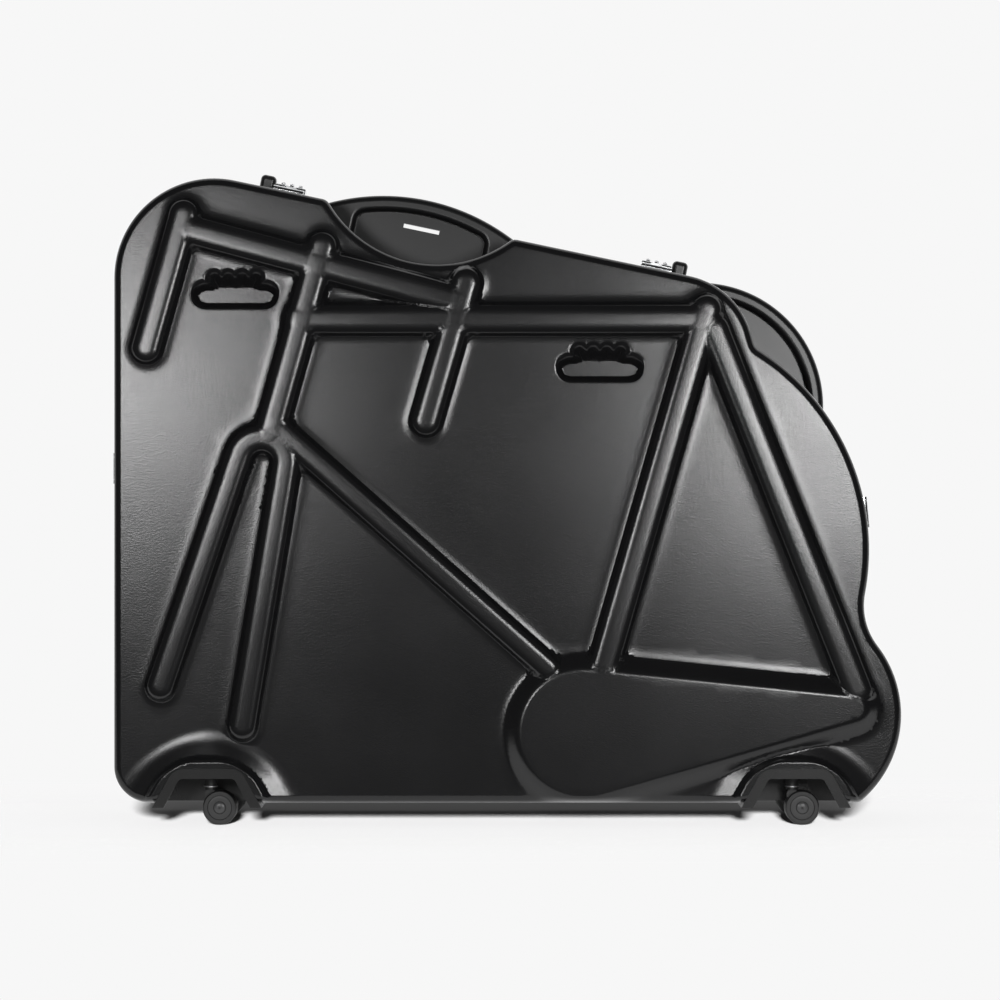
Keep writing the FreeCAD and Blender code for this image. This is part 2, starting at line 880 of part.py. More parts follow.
def hasp_bracket(place):
    """Plate on the lid with two ears and the hasp's pin."""
    back = hasp_axis_v - hasp_barrel_d / 2
    plate = box(0, lock_len, back, -lock_front, -wall, latch_plate_t)
    pieces = [plate]
    for u in (0, lock_len - hasp_ear_w):
        pieces.append(box(u, u + hasp_ear_w, back, hasp_axis_v + hasp_barrel_d / 2, 0, hasp_axis_w))
        pieces.append(hasp_bar(u, u + hasp_ear_w, hasp_barrel_d / 2))
    pieces.append(hasp_bar(0, lock_len, hasp_pin_d / 2))
    return riveted(place, fuse(pieces), bracket_rivet_spots())


def hasp(place):
    """The swinging lever whose tongue drops into the lock's slot."""
    u0 = hasp_ear_w + hasp_side_gap
    u1 = lock_len - u0
    barrel = hasp_bar(u0, u1, hasp_barrel_d / 2)
    wide = box(u0, u1, hasp_axis_v, -lock_front, tongue_low, tongue_low + tongue_t)
    arm = box(tongue_u - tongue_w / 2, tongue_u + tongue_w / 2, -lock_front * 2, tongue_end,
              tongue_low, tongue_low + tongue_t)
    lip = box(tongue_u - tongue_w / 2, tongue_u + tongue_w / 2, tongue_end - tongue_t, tongue_end,
              tongue_low, place.lip)
    lever = fuse([barrel, wide, arm, lip])
    return place.put(lever.cut(hasp_bar(0, lock_len, hasp_pin_d / 2 + running_gap)))


def slider(place):
    """The domed release button, with a key that runs in the base plate's slot."""
    u1 = -slider_gap
    u0 = u1 - slider_len
    middle_v = (lock_front + lock_back) / 2
    low = latch_plate_t + seat_gap
    dome = box(u0, u1, middle_v - slider_v / 2, middle_v + slider_v / 2, low, place.slider_h)
    crest = [e for e in dome.Edges if all(v.Point.z > place.slider_h - 1e-6 for v in e.Vertexes)]
    posts = [e for e in dome.Edges if abs(e.Vertexes[0].Point.z - e.Vertexes[1].Point.z) > 1e-6]
    dome = dome.makeFillet(slider_round, crest + posts)
    middle_u = (u0 + u1) / 2
    key_low = slider_slot_low + seat_gap
    key = box(middle_u - slider_key_len / 2, middle_u + slider_key_len / 2,
              middle_v - slider_key_w / 2, middle_v + slider_key_w / 2, key_low, low + over)
    return place.put(fuse([dome, key]))


def dial(place, u):
    """A number wheel with finger notches round its rim."""
    u0, u1 = u - dial_w / 2, u + dial_w / 2
    ring = dial_bar(u0, u1, dial_d / 2).cut(dial_bar(u0, u1, dial_shaft_d / 2 + dial_bore_gap))
    for k in range(dial_notches):
        turn = 2 * math.pi * (k + 0.5) / dial_notches
        out = V(0, math.cos(turn), math.sin(turn)) * (dial_d / 2 + dial_notch_out)
        ring = ring.cut(dial_bar(u0, u1, dial_notch_r).translated(out))
    return place.put(ring)


# Carry handles
def top_handle_circle():
    """Centre and radius of the top handle's outer edge: an arc that rises over the top edge."""
    radius = (handle_half_chord ** 2 + handle_rise ** 2) / (2 * handle_rise)
    middle = ((scoop_left[0] + scoop_right[0]) / 2, (scoop_left[1] + scoop_right[1]) / 2)
    normal = (math.sin(math.radians(top_fall_deg)), math.cos(math.radians(top_fall_deg)))
    drop = radius - handle_rise
    return ((middle[0] - normal[0] * drop, middle[1] - normal[1] * drop), radius)


def grip_bar(centre, radius):
    """A rounded bar bent round a centre; its outer edge has the given radius."""
    half = bar_w / 2
    a, b = V(radius - bar_radial, -half, 0), V(radius, -half, 0)
    c, d = V(radius, half, 0), V(radius - bar_radial, half, 0)
    ring = Part.Face(Part.makePolygon([a, b, c, d, a])).revolve(V(0, 0, 0), V(0, 1, 0), 360)
    ring = ring.makeFillet(bar_round, ring.Edges)
    ring.translate(at(centre))
    return ring


def biggest(shape):
    return max(shape.Solids, key=lambda s: s.Volume)


def handle(plates, centre, radius, keep):
    """A handle's plates and a foot on the rear half, cut to the case's outline."""
    case = slab(handle_gap, -half_depth, half_depth)
    foot_zone = slab(handle_gap + foot_t, 0, foot_reach)
    foot = disc(centre, radius - bar_radial / 2, 0, foot_reach).common(foot_zone)
    whole = fuse([piece.common(keep) for piece in (*plates, foot)])
    return biggest(whole.cut(case))


top_centre, top_radius = top_handle_circle()
side_peak = polar(wheel_centre, wheel_r + side_handle_rise, side_handle_deg)
side_centre = polar(side_peak, -side_handle_r, side_handle_turn)
top_keep = box(scoop_left[0] - shoulder_r, scoop_right[0] + shoulder_r, -half_depth, half_depth,
               scoop_centre[1] - scoop_r - shoulder_r, FAR)
side_keep = box(lock_right_x + latch_plate_tail + handle_lock_gap, FAR, -half_depth, half_depth, wheel_z, FAR)


def on_top_handle(shape):
    """Puts a shape that was made about the origin on the top handle's centre, level with the top edge."""
    shape.Placement = FreeCAD.Placement(at(top_centre), FreeCAD.Rotation(V(0, 1, 0), top_fall_deg))
    return shape


def finger_pocket():
    """Room for the fingers behind the bar, on the lid's side of the web, with round corners."""
    roof_r = top_radius - bar_radial
    room = box(-pocket_half, pocket_half, -bar_w / 2, -web_t / 2, 0, top_radius)
    room = room.common(disc((0.0, 0.0), roof_r, -bar_w / 2, -web_t / 2))
    roof_z = math.sqrt(roof_r ** 2 - pocket_half ** 2)
    corners = [upright_edge(room, (u, roof_z)) for u in (-pocket_half, pocket_half)]
    return on_top_handle(room.makeFillet(pocket_corner_r, corners))


def top_handle():
    """A thick round-edged plate with a pocket on each side, and a slot through the web under the bar."""
    half = bar_w / 2
    plate = disc(top_centre, top_radius, -half, half)
    plate = plate.makeFillet(bar_round, face_edges(plate, -half) + face_edges(plate, half))
    pocket = finger_pocket()
    plate = plate.cut(pocket).cut(mirrored(pocket))
    flat_edges = face_edges(plate, -half) + face_edges(plate, half)
    rims = [e for e in flat_edges if e.BoundBox.DiagonalLength < top_radius]
    plate = plate.makeFillet(pocket_rim, rims)
    body = handle([plate], top_centre, top_radius, top_keep)
    slot_z = top_radius - bar_radial - slot_below_bar - slot_h / 2
    slot = box(-slot_len / 2, slot_len / 2, -bar_w, bar_w, slot_z - slot_h / 2, slot_z + slot_h / 2)
    return body.cut(on_top_handle(slot))


def side_handle():
    """A thin web in the parting plane with a round bar along its outer edge."""
    web = disc(side_centre, side_handle_r - bar_radial / 2, -web_t / 2, web_t / 2)
    return handle([web, grip_bar(side_centre, side_handle_r)], side_centre, side_handle_r, side_keep)


def foot_screw_lines():
    """Seat and inward direction of each screw that holds a handle's foot to the rear half."""
    y = rim_gap + frame_w + screw_head_d
    lines = []
    for turn in top_screw_degs:
        degrees = -90.0 - top_fall_deg + turn
        spot = polar(scoop_centre, scoop_r - handle_gap - foot_t - screw_seat, degrees)
        inward = polar((0.0, 0.0), 1.0, degrees)
        lines.append((at(spot, y), V(inward[0], 0, inward[1])))
    for turn in side_screw_degs:
        spot = polar(wheel_centre, wheel_r + handle_gap + foot_t + screw_seat, turn)
        inward = polar((0.0, 0.0), -1.0, turn)
        lines.append((at(spot, y), V(inward[0], 0, inward[1])))
    return lines


def handle_screw(seat, inward):
    head = cylinder(seat - inward * screw_head_t, seat, screw_head_d / 2)
    shank = cylinder(seat, seat + inward * (foot_t + handle_gap + wall * 2), screw_d / 2)
    return fuse([head, shank])


def screw_hole(seat, inward):
    return cylinder(seat, seat + inward * (foot_t + handle_gap + wall * 3), screw_d / 2)


# Lining
def rim_frame():
    inset = wall + seat_gap
    band = slab(-inset, -rim_gap - frame_w, -rim_gap)
    return band.cut(slab(-inset - frame_t, -rim_gap - frame_w - over, 0))


def rim_gasket():
    band = slab(-gasket_inset, -rim_gap + seat_gap, rim_gap)
    return band.cut(slab(-wall + gasket_inset, -rim_gap, rim_gap * 2))


def liner():
    """Foam sheet on the inside of a face, cut away round the grips and the wheel housings."""
    y0 = face_y + wall + seat_gap
    sheet = slab(-wall - liner_inset, y0, y0 + liner_t)
    for place in grip_places:
        grip = grip_cut(place, wall + liner_clear)
        sheet = sheet.cut(grip.fuse(grip.translated(V(0, liner_t, 0))))
    for x in (arch_left_x, arch_right_x):
        sheet = sheet.cut(arch_prism(x, liner_clear, face_y - relief_h, 0))
    return sheet


strap_top_y = half_depth - wall - seat_gap - liner_t - seat_gap


def strap(z):
    """Webbing over the rear liner, with both ends down through slots in the foam."""
    y0 = strap_top_y - strap_t
    run = box(-strap_half, strap_half, y0, strap_top_y, z - strap_w / 2, z + strap_w / 2)
    end = half_depth - wall - seat_gap
    legs = [
        box(side * strap_half, side * (strap_half - strap_t), y0, end, z - strap_w / 2, z + strap_w / 2)
        for side in (-1, 1)
    ]
    return fuse([run] + legs)


def strap_slots(sheet):
    for z in strap_z:
        for side in (-1, 1):
            x = side * (strap_half - strap_t / 2)
            half = strap_t / 2 + liner_clear
            reach = strap_w / 2 + liner_clear
            sheet = sheet.cut(box(x - half, x + half, 0, half_depth, z - reach, z + reach))
    return sheet


def buckle(z):
    """Ladder-lock buckle with two slots for the webbing, on top of the strap."""
    y1 = strap_top_y - strap_t
    body = box(-buckle_len / 2, buckle_len / 2, y1 - buckle_t, y1, z - buckle_w / 2, z + buckle_w / 2)
    posts = [e for e in body.Edges if abs(e.Vertexes[0].Point.y - e.Vertexes[1].Point.y) > over]
    body = body.makeFillet(buckle_round, posts)
    for side in (-1, 1):
        x = side * buckle_len / 4
        half = strap_t * 2
        body = body.cut(box(x - half, x + half, y1 - buckle_t * 2, y1, z - strap_w / 2, z + strap_w / 2))
    return body


# Assembly
nodes = {}
front_shell = lid_shell()
rear_shell = mirrored(front_shell)
front_rivets = []
rear_rivets = []

for place in latches:
    inward = place.direction(0, 0, -1)
    reach = latch_plate_t + wall
    for u, v in body_rivet_spots():
        seat = place.spot(u, v, latch_plate_t)
        rear_rivets.append(rivet(seat, inward, reach))
        rear_shell = rear_shell.cut(rivet_hole(seat, inward, reach))
    for u, v in bracket_rivet_spots():
        seat = place.spot(u, v, latch_plate_t)
        front_rivets.append(rivet(seat, inward, reach))
        front_shell = front_shell.cut(rivet_hole(seat, inward, reach))
    nodes[place.name + "_body"] = lock_body(place)
    nodes[place.name + "_bracket"] = hasp_bracket(place)
    nodes[place.name + "_hasp"] = hasp(place)
    nodes[place.name + "_slider"] = slider(place)
    if place.lock:
        for number, u in enumerate(dial_spots(), start=1):
            nodes[place.name + "_dial_" + str(number)] = dial(place, u)

for x in hinge_places:
    for side in (-1, 1):
        for a, b in leaf_rivet_spots(x, side):
            seat = V(a, b, base_z - seat_gap - leaf_t)
            reach = leaf_t + seat_gap + wall
            if side < 0:
                front_rivets.append(rivet(seat, V(0, 0, 1), reach))
                front_shell = front_shell.cut(rivet_hole(seat, V(0, 0, 1), reach))
            else:
                rear_rivets.append(rivet(seat, V(0, 0, 1), reach))
                rear_shell = rear_shell.cut(rivet_hole(seat, V(0, 0, 1), reach))

handles = {"top_handle": top_handle(), "side_handle": side_handle()}
for seat, inward in foot_screw_lines():
    hole = screw_hole(seat, inward)
    rear_shell = rear_shell.cut(hole)
    handles = {name: shape.cut(hole) for name, shape in handles.items()}
nodes.update(handles)
nodes["handle_screws"] = group([handle_screw(seat, inward) for seat, inward in foot_screw_lines()])

front_bolts = []
for x, side_name in ((arch_left_x, "left"), (arch_right_x, "right")):
    housing = wheel_housing(x)
    roof_z = ceiling_z + housing_wall
    for a, b in bolt_spots(x, -caster_y):
        housing = housing.cut(cylinder(V(a, b, ceiling_z), V(a, b, roof_z), caster_bolt_d / 2))
    nodes["front_" + side_name + "_wheel_housing"] = housing
    nodes["rear_" + side_name + "_wheel_housing"] = mirrored(housing)
    front_bolts.extend(caster_bolts(x, -caster_y))
    for half_name, y in (("front", -caster_y), ("rear", caster_y)):
        start = half_name + "_" + side_name + "_caster_"
        nodes[start + "mount"] = caster_mount(x, y)
        nodes[start + "kingpin"] = kingpin(x, y)
        nodes[start + "fork"] = caster_fork(x, y)
        nodes[start + "wheels"] = group(caster_wheels(x, y) + [caster_axle(x, y)])
rear_bolts = [mirrored(bolt) for bolt in front_bolts]

nodes["front_shell"] = front_shell
nodes["rear_shell"] = rear_shell
nodes["front_rim_frame"] = rim_frame()
nodes["rear_rim_frame"] = mirrored(rim_frame())
nodes["rim_gasket"] = rim_gasket()
nodes["front_liner"] = liner()
nodes["rear_liner"] = strap_slots(mirrored(liner()))
nodes["hold_down_straps"] = group([strap(z) for z in strap_z])
nodes["strap_buckles"] = group([buckle(z) for z in strap_z])
nodes["front_hinge_leaves"] = group([hinge_leaf(x, -1) for x in hinge_places])
nodes["rear_hinge_leaves"] = group([hinge_leaf(x, 1) for x in hinge_places])
nodes["hinge_pins"] = group([hinge_pin(x) for x in hinge_places])
nodes["front_fasteners"] = group(front_rivets + front_bolts)
nodes["rear_fasteners"] = group(rear_rivets + rear_bolts)

for name, shape in nodes.items():
    shape.exportStep("parts/" + name + ".step")
    print(name, len(shape.Solids), shape.isValid(), round(shape.Volume))
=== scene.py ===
import json
import math

import bmesh
import bpy
import numpy as np
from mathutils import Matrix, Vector
from mathutils.geometry import delaunay_2d_cdt


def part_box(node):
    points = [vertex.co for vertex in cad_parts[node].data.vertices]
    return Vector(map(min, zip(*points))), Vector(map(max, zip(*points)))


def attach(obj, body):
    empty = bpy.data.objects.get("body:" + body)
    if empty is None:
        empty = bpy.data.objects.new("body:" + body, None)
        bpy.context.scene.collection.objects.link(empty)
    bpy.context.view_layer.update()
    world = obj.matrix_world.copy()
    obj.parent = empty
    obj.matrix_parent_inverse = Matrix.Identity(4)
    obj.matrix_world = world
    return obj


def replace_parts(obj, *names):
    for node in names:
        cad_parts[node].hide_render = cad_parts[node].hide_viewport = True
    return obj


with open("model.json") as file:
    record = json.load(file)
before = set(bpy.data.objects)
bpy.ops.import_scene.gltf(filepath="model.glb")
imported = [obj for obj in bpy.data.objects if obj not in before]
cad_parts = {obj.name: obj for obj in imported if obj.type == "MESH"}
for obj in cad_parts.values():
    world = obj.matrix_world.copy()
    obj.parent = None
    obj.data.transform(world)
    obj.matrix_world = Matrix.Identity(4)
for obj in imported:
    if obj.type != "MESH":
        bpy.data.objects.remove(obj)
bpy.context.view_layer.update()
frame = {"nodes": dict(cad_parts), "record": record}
nodes = frame["nodes"]
joints = frame["record"]["behaviour"]["joints"]
HALVES = (("front", -1, "lid"), ("rear", 1, "rear_half"))

# Case body, in metres. Points of the case's outline are complex numbers, x + z j.
HALF_DEPTH = 0.168
WALL = 0.003
EDGE_ROUND = 0.012
RIM_Y = 0.0015
BASE_Z = 0.0375
LEFT_X = -0.591
BASE_CORNER_R = 0.054
SHOULDER_R = 0.150
TOP_FALL = math.radians(11.86)
SCOOP_X = -0.10575
SCOOP_LIFT = 0.128
SCOOP_R = 0.190
SCOOP_CORNER_R = 0.014
WHEEL = complex(0.18825, 0.417)
WHEEL_R = 0.3555
NOTCH_TURN = math.radians(58.8)
NOTCH_R = 0.014
NECK_RUN = 0.0275
NECK_RISE = 0.0927
NECK_R = 0.1215
WAIST_R = 0.099
HEEL = complex(0.42225, 0.1695)
HEEL_R = 0.1695
HEEL_CORNER_R = 0.016
RIGHT_X = HEEL.real + HEEL_R

# Raised relief
RELIEF_H = 0.017
RIB_W = 0.063
DOWN_TUBE_W = 0.052
FORK_W = 0.058
RIBS = [
    (complex(-0.485, 0.9195), complex(-0.541, 0.720), RIB_W),
    (complex(-0.476, 0.897), complex(-0.079, 0.792), RIB_W),
    (complex(-0.278, 0.8715), complex(-0.356, 0.592), RIB_W),
    (complex(-0.062, 0.8175), complex(-0.122, 0.6105), RIB_W),
    (complex(-0.311, 0.763), complex(0.292, 0.763), RIB_W),
    (complex(0.298, 0.777), complex(0.145, 0.2445), RIB_W),
    (complex(0.310, 0.747), complex(0.524, 0.207), RIB_W),
    (complex(-0.349, 0.6045), complex(0.061, 0.240), DOWN_TUBE_W),
]
CROWN = complex(-0.368, 0.549)
CROWN_R = 0.036
FORK_FEET = (complex(-0.520, 0.213), complex(-0.397, 0.153))
GUARD_BIG = complex(0.11475, 0.1425)
GUARD_BIG_R = 0.099
GUARD_SMALL = complex(0.51675, 0.180)
GUARD_SMALL_R = 0.021
GUARD_SLOPE = 0.022
GUARD_LENGTH = abs(GUARD_SMALL - GUARD_BIG)
GUARD_AXIS = (GUARD_SMALL - GUARD_BIG) / GUARD_LENGTH
GUARD_LEAN = (GUARD_BIG_R - GUARD_SMALL_R) / GUARD_LENGTH
RIB_CREST = 0.74
RIB_POWER = 3.5
FLANK_START = 0.95
CREST_BLEND = 0.0008
CORNER_BLEND = 0.026
BANK_BLEND = 0.005
FLANK_BLEND = 0.003
FOOT_BLEND = 0.0010
DROP = 2.3
APRON_H = 0.0010
APRON_W = 0.0065
TINY = 1e-6

# Finger grips
GRIPS = (complex(-0.409, 0.800), complex(0.139, 0.690))
GRIP_HALF = 0.045
GRIP_R = 0.020
GRIP_DEPTH = 0.022
GRIP_DRAFT = 0.0075
GRIP_ROOF_EASE = 0.4
GRIP_ROOF_START = 0.012
GRIP_RIM_BLEND = 0.006
GRIP_FLOOR_BLEND = 0.004
GRIP_STEP = 0.0022
GRIP_POINTS = 160
LOBE_R = 0.012
LOBE_PITCH = 0.0206
LOBE_RISE = 0.024
LOBE_COUNT = 4

# Wheel arches
ARCHES = (0.432, -0.450)
ARCH_HALF_LOW = 0.079
ARCH_HALF_HIGH = 0.050
ARCH_TOP_Z = 0.090
ARCH_R = 0.024
ARCH_BACK = 0.038
LIP_BAND = 0.013
LIP_SLOPE = 0.007
LIP_BLEND = 0.010
FLARE_H = 0.0085
FLARE_SLOPE = 0.036
FLARE_BLEND = 0.006
FLARE_FOOT = 0.003

# Mesh spacing
RING_STEP = 0.006
ALONG_STEP = 0.008
END_STEP = 0.004
FLAT_STEP = 0.010
MIN_GAP = 0.0014
RIB_ROWS = np.array((0, 0.18, 0.36, 0.48, 0.57, 0.64, 0.70, 0.76, 0.82, 0.88, 0.94, 1.0, 1.08, 1.2))
GUARD_ROWS = (-0.006, -0.002, 0.002, 0.006, 0.010, 0.014, 0.018, 0.020, 0.0215, 0.023,
              0.025, 0.027, 0.029, 0.032)
FLARE_ROWS = (0.004, 0.008, 0.010, 0.012, 0.0135, 0.015, 0.0165, 0.018, 0.020, 0.023,
              0.028, 0.034, 0.040, 0.046, 0.050, 0.054)
GRIP_ROWS = (0, 0.002, 0.0045, 0.0075)
EDGE_TURNS = (15, 30, 45, 60, 75, 90)
FINE_STEP = 0.003
FINEST_STEP = 0.0016
# Places where forms meet at a flat angle: low corner, high corner and spacing
FINE_BLOCKS = (
    (complex(-0.200, 0.768), complex(-0.060, 0.800), FINEST_STEP),
    (complex(0.300, 0.040), complex(0.560, 0.165), FINE_STEP),
    (complex(-0.580, 0.040), complex(-0.320, 0.165), FINE_STEP),
    (complex(0.440, 0.175), complex(0.560, 0.255), FINEST_STEP),
)
FLAT_GAP = FLAT_STEP * 0.62
ARCH_ROOM = MIN_GAP * 0.8
ROW_SLACK = 1e-5
JOIN_SLACK = 1e-7
INSIDE = 1
CONTOUR_ROUNDS = 30
ROW_ROUNDS = 4
PROBE = 0.0002
SHARP = math.radians(40)
FULL_TURN = 2 * math.pi


def unit(angle):
    return complex(math.cos(angle), math.sin(angle))


def inner(a, b):
    return (a * b.conjugate()).real


class Straight:
    """A straight side of an outline, with the case on its right."""

    def __init__(self, start, end):
        self.start = start
        self.along = (end - start) / abs(end - start)
        self.inward = self.along * -1j

    def moved(self, inset):
        start = self.start + self.inward * inset
        return Straight(start, start + self.along)

    def foot(self, point):
        return self.start + self.along * inner(point - self.start, self.along)

    def inward_at(self, point):
        return self.inward


class Round:
    """A round side of an outline; bulge is 1 where the case is inside the circle and -1 outside."""

    def __init__(self, centre, radius, bulge):
        self.centre = centre
        self.radius = radius
        self.bulge = bulge

    def moved(self, inset):
        return Round(self.centre, self.radius - self.bulge * inset, self.bulge)

    def foot(self, point):
        away = point - self.centre
        return self.centre + away * (self.radius / abs(away))

    def inward_at(self, point):
        away = self.centre - point
        return away * (self.bulge / abs(away))


def crossing(one, other, near):
    """The place where two sides meet that is nearest to a point."""
    if isinstance(one, Round) and isinstance(other, Straight):
        one, other = other, one
    if isinstance(other, Straight):
        reach = inner(other.start - one.start, other.inward) / inner(one.along, other.inward)
        return one.start + one.along * reach
    if isinstance(one, Straight):
        middle = one.foot(other.centre)
        direction = one.along
        half = math.sqrt(other.radius ** 2 - abs(middle - other.centre) ** 2)
    else:
        apart = other.centre - one.centre
        share = (one.radius ** 2 - other.radius ** 2 + abs(apart) ** 2) / (2 * abs(apart) ** 2)
        middle = one.centre + apart * share
        direction = apart * 1j / abs(apart)
        half = math.sqrt(one.radius ** 2 - abs(apart * share) ** 2)
    return min((middle + direction * half * s for s in (-1, 1)), key=lambda p: abs(p - near))


def walk(side, start, end, step):
    """Points along a side from start towards end, without the last one."""
    if isinstance(side, Straight):
        count = max(1, math.ceil(abs(end - start) / step))
        return [start + (end - start) * k / count for k in range(count)]
    ratio = (end - side.centre) / (start - side.centre)
    turn = math.atan2(ratio.imag, ratio.real)
    count = max(3, math.ceil(abs(turn) * side.radius / step))
    return [side.centre + (start - side.centre) * unit(turn * k / count) for k in range(count)]


def rounding(one, other, point, radius, out):
    """The round corner between two sides; out is 1 where the corner sticks out of the case."""
    centre = crossing(one.moved(out * radius), other.moved(out * radius), point)
    return Round(centre, radius, out)


def arch_feet(x):
    return complex(x + ARCH_HALF_LOW, BASE_Z), complex(x - ARCH_HALF_LOW, BASE_Z)


def case_outline():
    """Points round the case, their inward directions and the arch that each spans, or None."""
    notch = WHEEL + unit(NOTCH_TURN) * WHEEL_R
    neck = notch + complex(-NECK_RUN, NECK_RISE)
    top_slope = math.tan(TOP_FALL)
    shoulder = complex(LEFT_X, neck.imag + top_slope * (neck.real - LEFT_X))
    scoop = complex(SCOOP_X, neck.imag + top_slope * (neck.real - SCOOP_X) + SCOOP_LIFT)
    base_left = complex(LEFT_X, BASE_Z)
    left = Straight(base_left, shoulder)
    top = Straight(shoulder, neck)
    hollow = Round(scoop, SCOOP_R, -1)
    throat = Straight(neck, notch)
    wheel = Round(WHEEL, WHEEL_R, 1)
    heel = Round(HEEL, HEEL_R, 1)
    base = Straight(complex(HEEL.real, BASE_Z), base_left)
    sides = [left, top, hollow, top, throat, wheel, heel, base]
    corners = [
        (shoulder, SHOULDER_R, 1),
        (crossing(top, hollow, shoulder), SCOOP_CORNER_R, 1),
        (crossing(top, hollow, neck), SCOOP_CORNER_R, 1),
        (neck, NECK_R, 1),
        (notch, NOTCH_R, -1),
        (crossing(wheel, heel, complex(RIGHT_X, WHEEL.imag)), WAIST_R, -1),
        (crossing(heel, base, complex(RIGHT_X, BASE_Z)), HEEL_CORNER_R, 1),
        (base_left, BASE_CORNER_R, 1),
    ]
    nexts = [*sides[1:], left]
    bends = [rounding(side, after, *corner) for side, after, corner in zip(sides, nexts, corners)]
    found = []
    for k, side in enumerate(sides):
        start = side.foot(bends[k - 1].centre)
        end = side.foot(bends[k].centre)
        stops = [start, end]
        if side is base:
            stops = [start, *arch_feet(ARCHES[0]), *arch_feet(ARCHES[1]), end]
        for n, (a, b) in enumerate(zip(stops, stops[1:])):
            arch = n // 2 if n % 2 else None
            for number, p in enumerate(walk(side, a, b, RING_STEP)):
                found.append((p, side.inward_at(p), arch if number else None))
        for p in walk(bends[k], end, nexts[k].foot(bends[k].centre), RING_STEP):
            found.append((p, bends[k].inward_at(p), None))
    points, inwards, spans = zip(*found)
    return np.array(points), np.array(inwards), list(spans)


def arch_rim(x):
    """Points over a wheel arch from right to left, and their inward directions."""
    low_right, low_left = arch_feet(x)
    high_right = complex(x + ARCH_HALF_HIGH, ARCH_TOP_Z)
    high_left = complex(x - ARCH_HALF_HIGH, ARCH_TOP_Z)
    right = Straight(low_right, high_right)
    roof = Straight(high_right, high_left)
    left = Straight(high_left, low_left)
    bend_right = rounding(right, roof, high_right, ARCH_R, -1)
    bend_left = rounding(roof, left, high_left, ARCH_R, -1)
    stops = [low_right]
    for side, bend in ((right, bend_right), (roof, bend_right), (roof, bend_left), (left, bend_left)):
        stops.append(side.foot(bend.centre))
    stops.append(low_left)
    found = []
    for side, start, end in zip((right, bend_right, roof, bend_left, left), stops, stops[1:]):
        found.extend((p, side.inward_at(p)) for p in walk(side, start, end, RING_STEP))
    points, inwards = zip(*found)
    return np.array(points), np.array(inwards)


OUTLINE, INWARD, SPANS = case_outline()


# Distances in the face's plane. Each takes an array of points and is negative inside.
def from_segment(p, a, b):
    run = np.clip(((p - a) * np.conj(b - a)).real / abs(b - a) ** 2, 0, 1)
    return np.abs(p - a - (b - a) * run)


def from_loop(p, loop):
    """Distance from the line of a closed loop."""
    nearest = np.full(len(p), np.inf)
    for a, b in zip(loop, np.roll(loop, -1)):
        nearest = np.minimum(nearest, from_segment(p, a, b))
    return nearest


def from_loops(p, loops):
    return np.minimum.reduce([from_loop(p, loop) for loop in loops])


def within(p, loop):
    """True for the points inside a closed loop."""
    inside = np.zeros(len(p), bool)
    for a, b in zip(loop, np.roll(loop, -1)):
        if a.imag == b.imag:
            continue
        spans = (a.imag > p.imag) != (b.imag > p.imag)
        cross_x = a.real + (p.imag - a.imag) * (b.real - a.real) / (b.imag - a.imag)
        inside ^= spans & (p.real < cross_x)
    return inside


def fork_lines():
    """The fork's two legs as (top, foot), and the angles of the bend that joins them."""
    turns = []
    for foot, way in zip(FORK_FEET, (-1, 1)):
        away = foot - CROWN
        turns.append(math.atan2(away.imag, away.real) + way * math.acos(CROWN_R / abs(away)))
    tops = [CROWN + unit(turn) * CROWN_R for turn in turns]
    return list(zip(tops, FORK_FEET)), turns


FORK_LEGS, FORK_TURNS = fork_lines()


def from_fork(p):
    legs = np.minimum(from_segment(p, *FORK_LEGS[0]), from_segment(p, *FORK_LEGS[1]))
    bow = np.abs(np.abs(p - CROWN) - CROWN_R)
    turn = np.angle(p - CROWN)
    on_bow = (turn - FORK_TURNS[1]) % FULL_TURN <= FORK_TURNS[0] - FORK_TURNS[1] + FULL_TURN
    return np.where(on_bow, np.minimum(bow, legs), legs)


def from_guard(p):
    """Distance from a teardrop round a big and a small circle."""
    local = (p - GUARD_BIG) * GUARD_AXIS.conjugate()
    along, side = local.real, np.abs(local.imag)
    flat = math.sqrt(1 - GUARD_LEAN ** 2)
    place = flat * along - GUARD_LEAN * side
    near_big = np.abs(local) - GUARD_BIG_R
    near_small = np.abs(local - GUARD_LENGTH) - GUARD_SMALL_R
    near_side = side * flat + along * GUARD_LEAN - GUARD_BIG_R
    return np.where(place < 0, near_big, np.where(place > flat * GUARD_LENGTH, near_small, near_side))


def from_arch(p, x):
    lean = (ARCH_HALF_LOW - ARCH_HALF_HIGH) / (ARCH_TOP_Z - BASE_Z)
    over = p.imag - ARCH_TOP_Z + ARCH_R
    out = np.abs(p.real - x) - ARCH_HALF_LOW + lean * (p.imag - BASE_Z)
    out = out / math.hypot(1, lean) + ARCH_R
    corner = np.hypot(np.maximum(over, 0), np.maximum(out, 0))
    return corner + np.minimum(np.maximum(over, out), 0) - ARCH_R


def from_arches(p):
    return np.minimum(from_arch(p, ARCHES[0]), from_arch(p, ARCHES[1]))


def from_grip_bars(p, centre):
    """Distance from the round bars that make up a finger grip."""
    gap = from_segment(p, centre - GRIP_HALF, centre + GRIP_HALF) - GRIP_R
    for k in range(LOBE_COUNT):
        foot = centre + (k - (LOBE_COUNT - 1) / 2) * LOBE_PITCH
        gap = np.minimum(gap, from_segment(p, foot, foot + LOBE_RISE * 1j) - LOBE_R)
    return gap


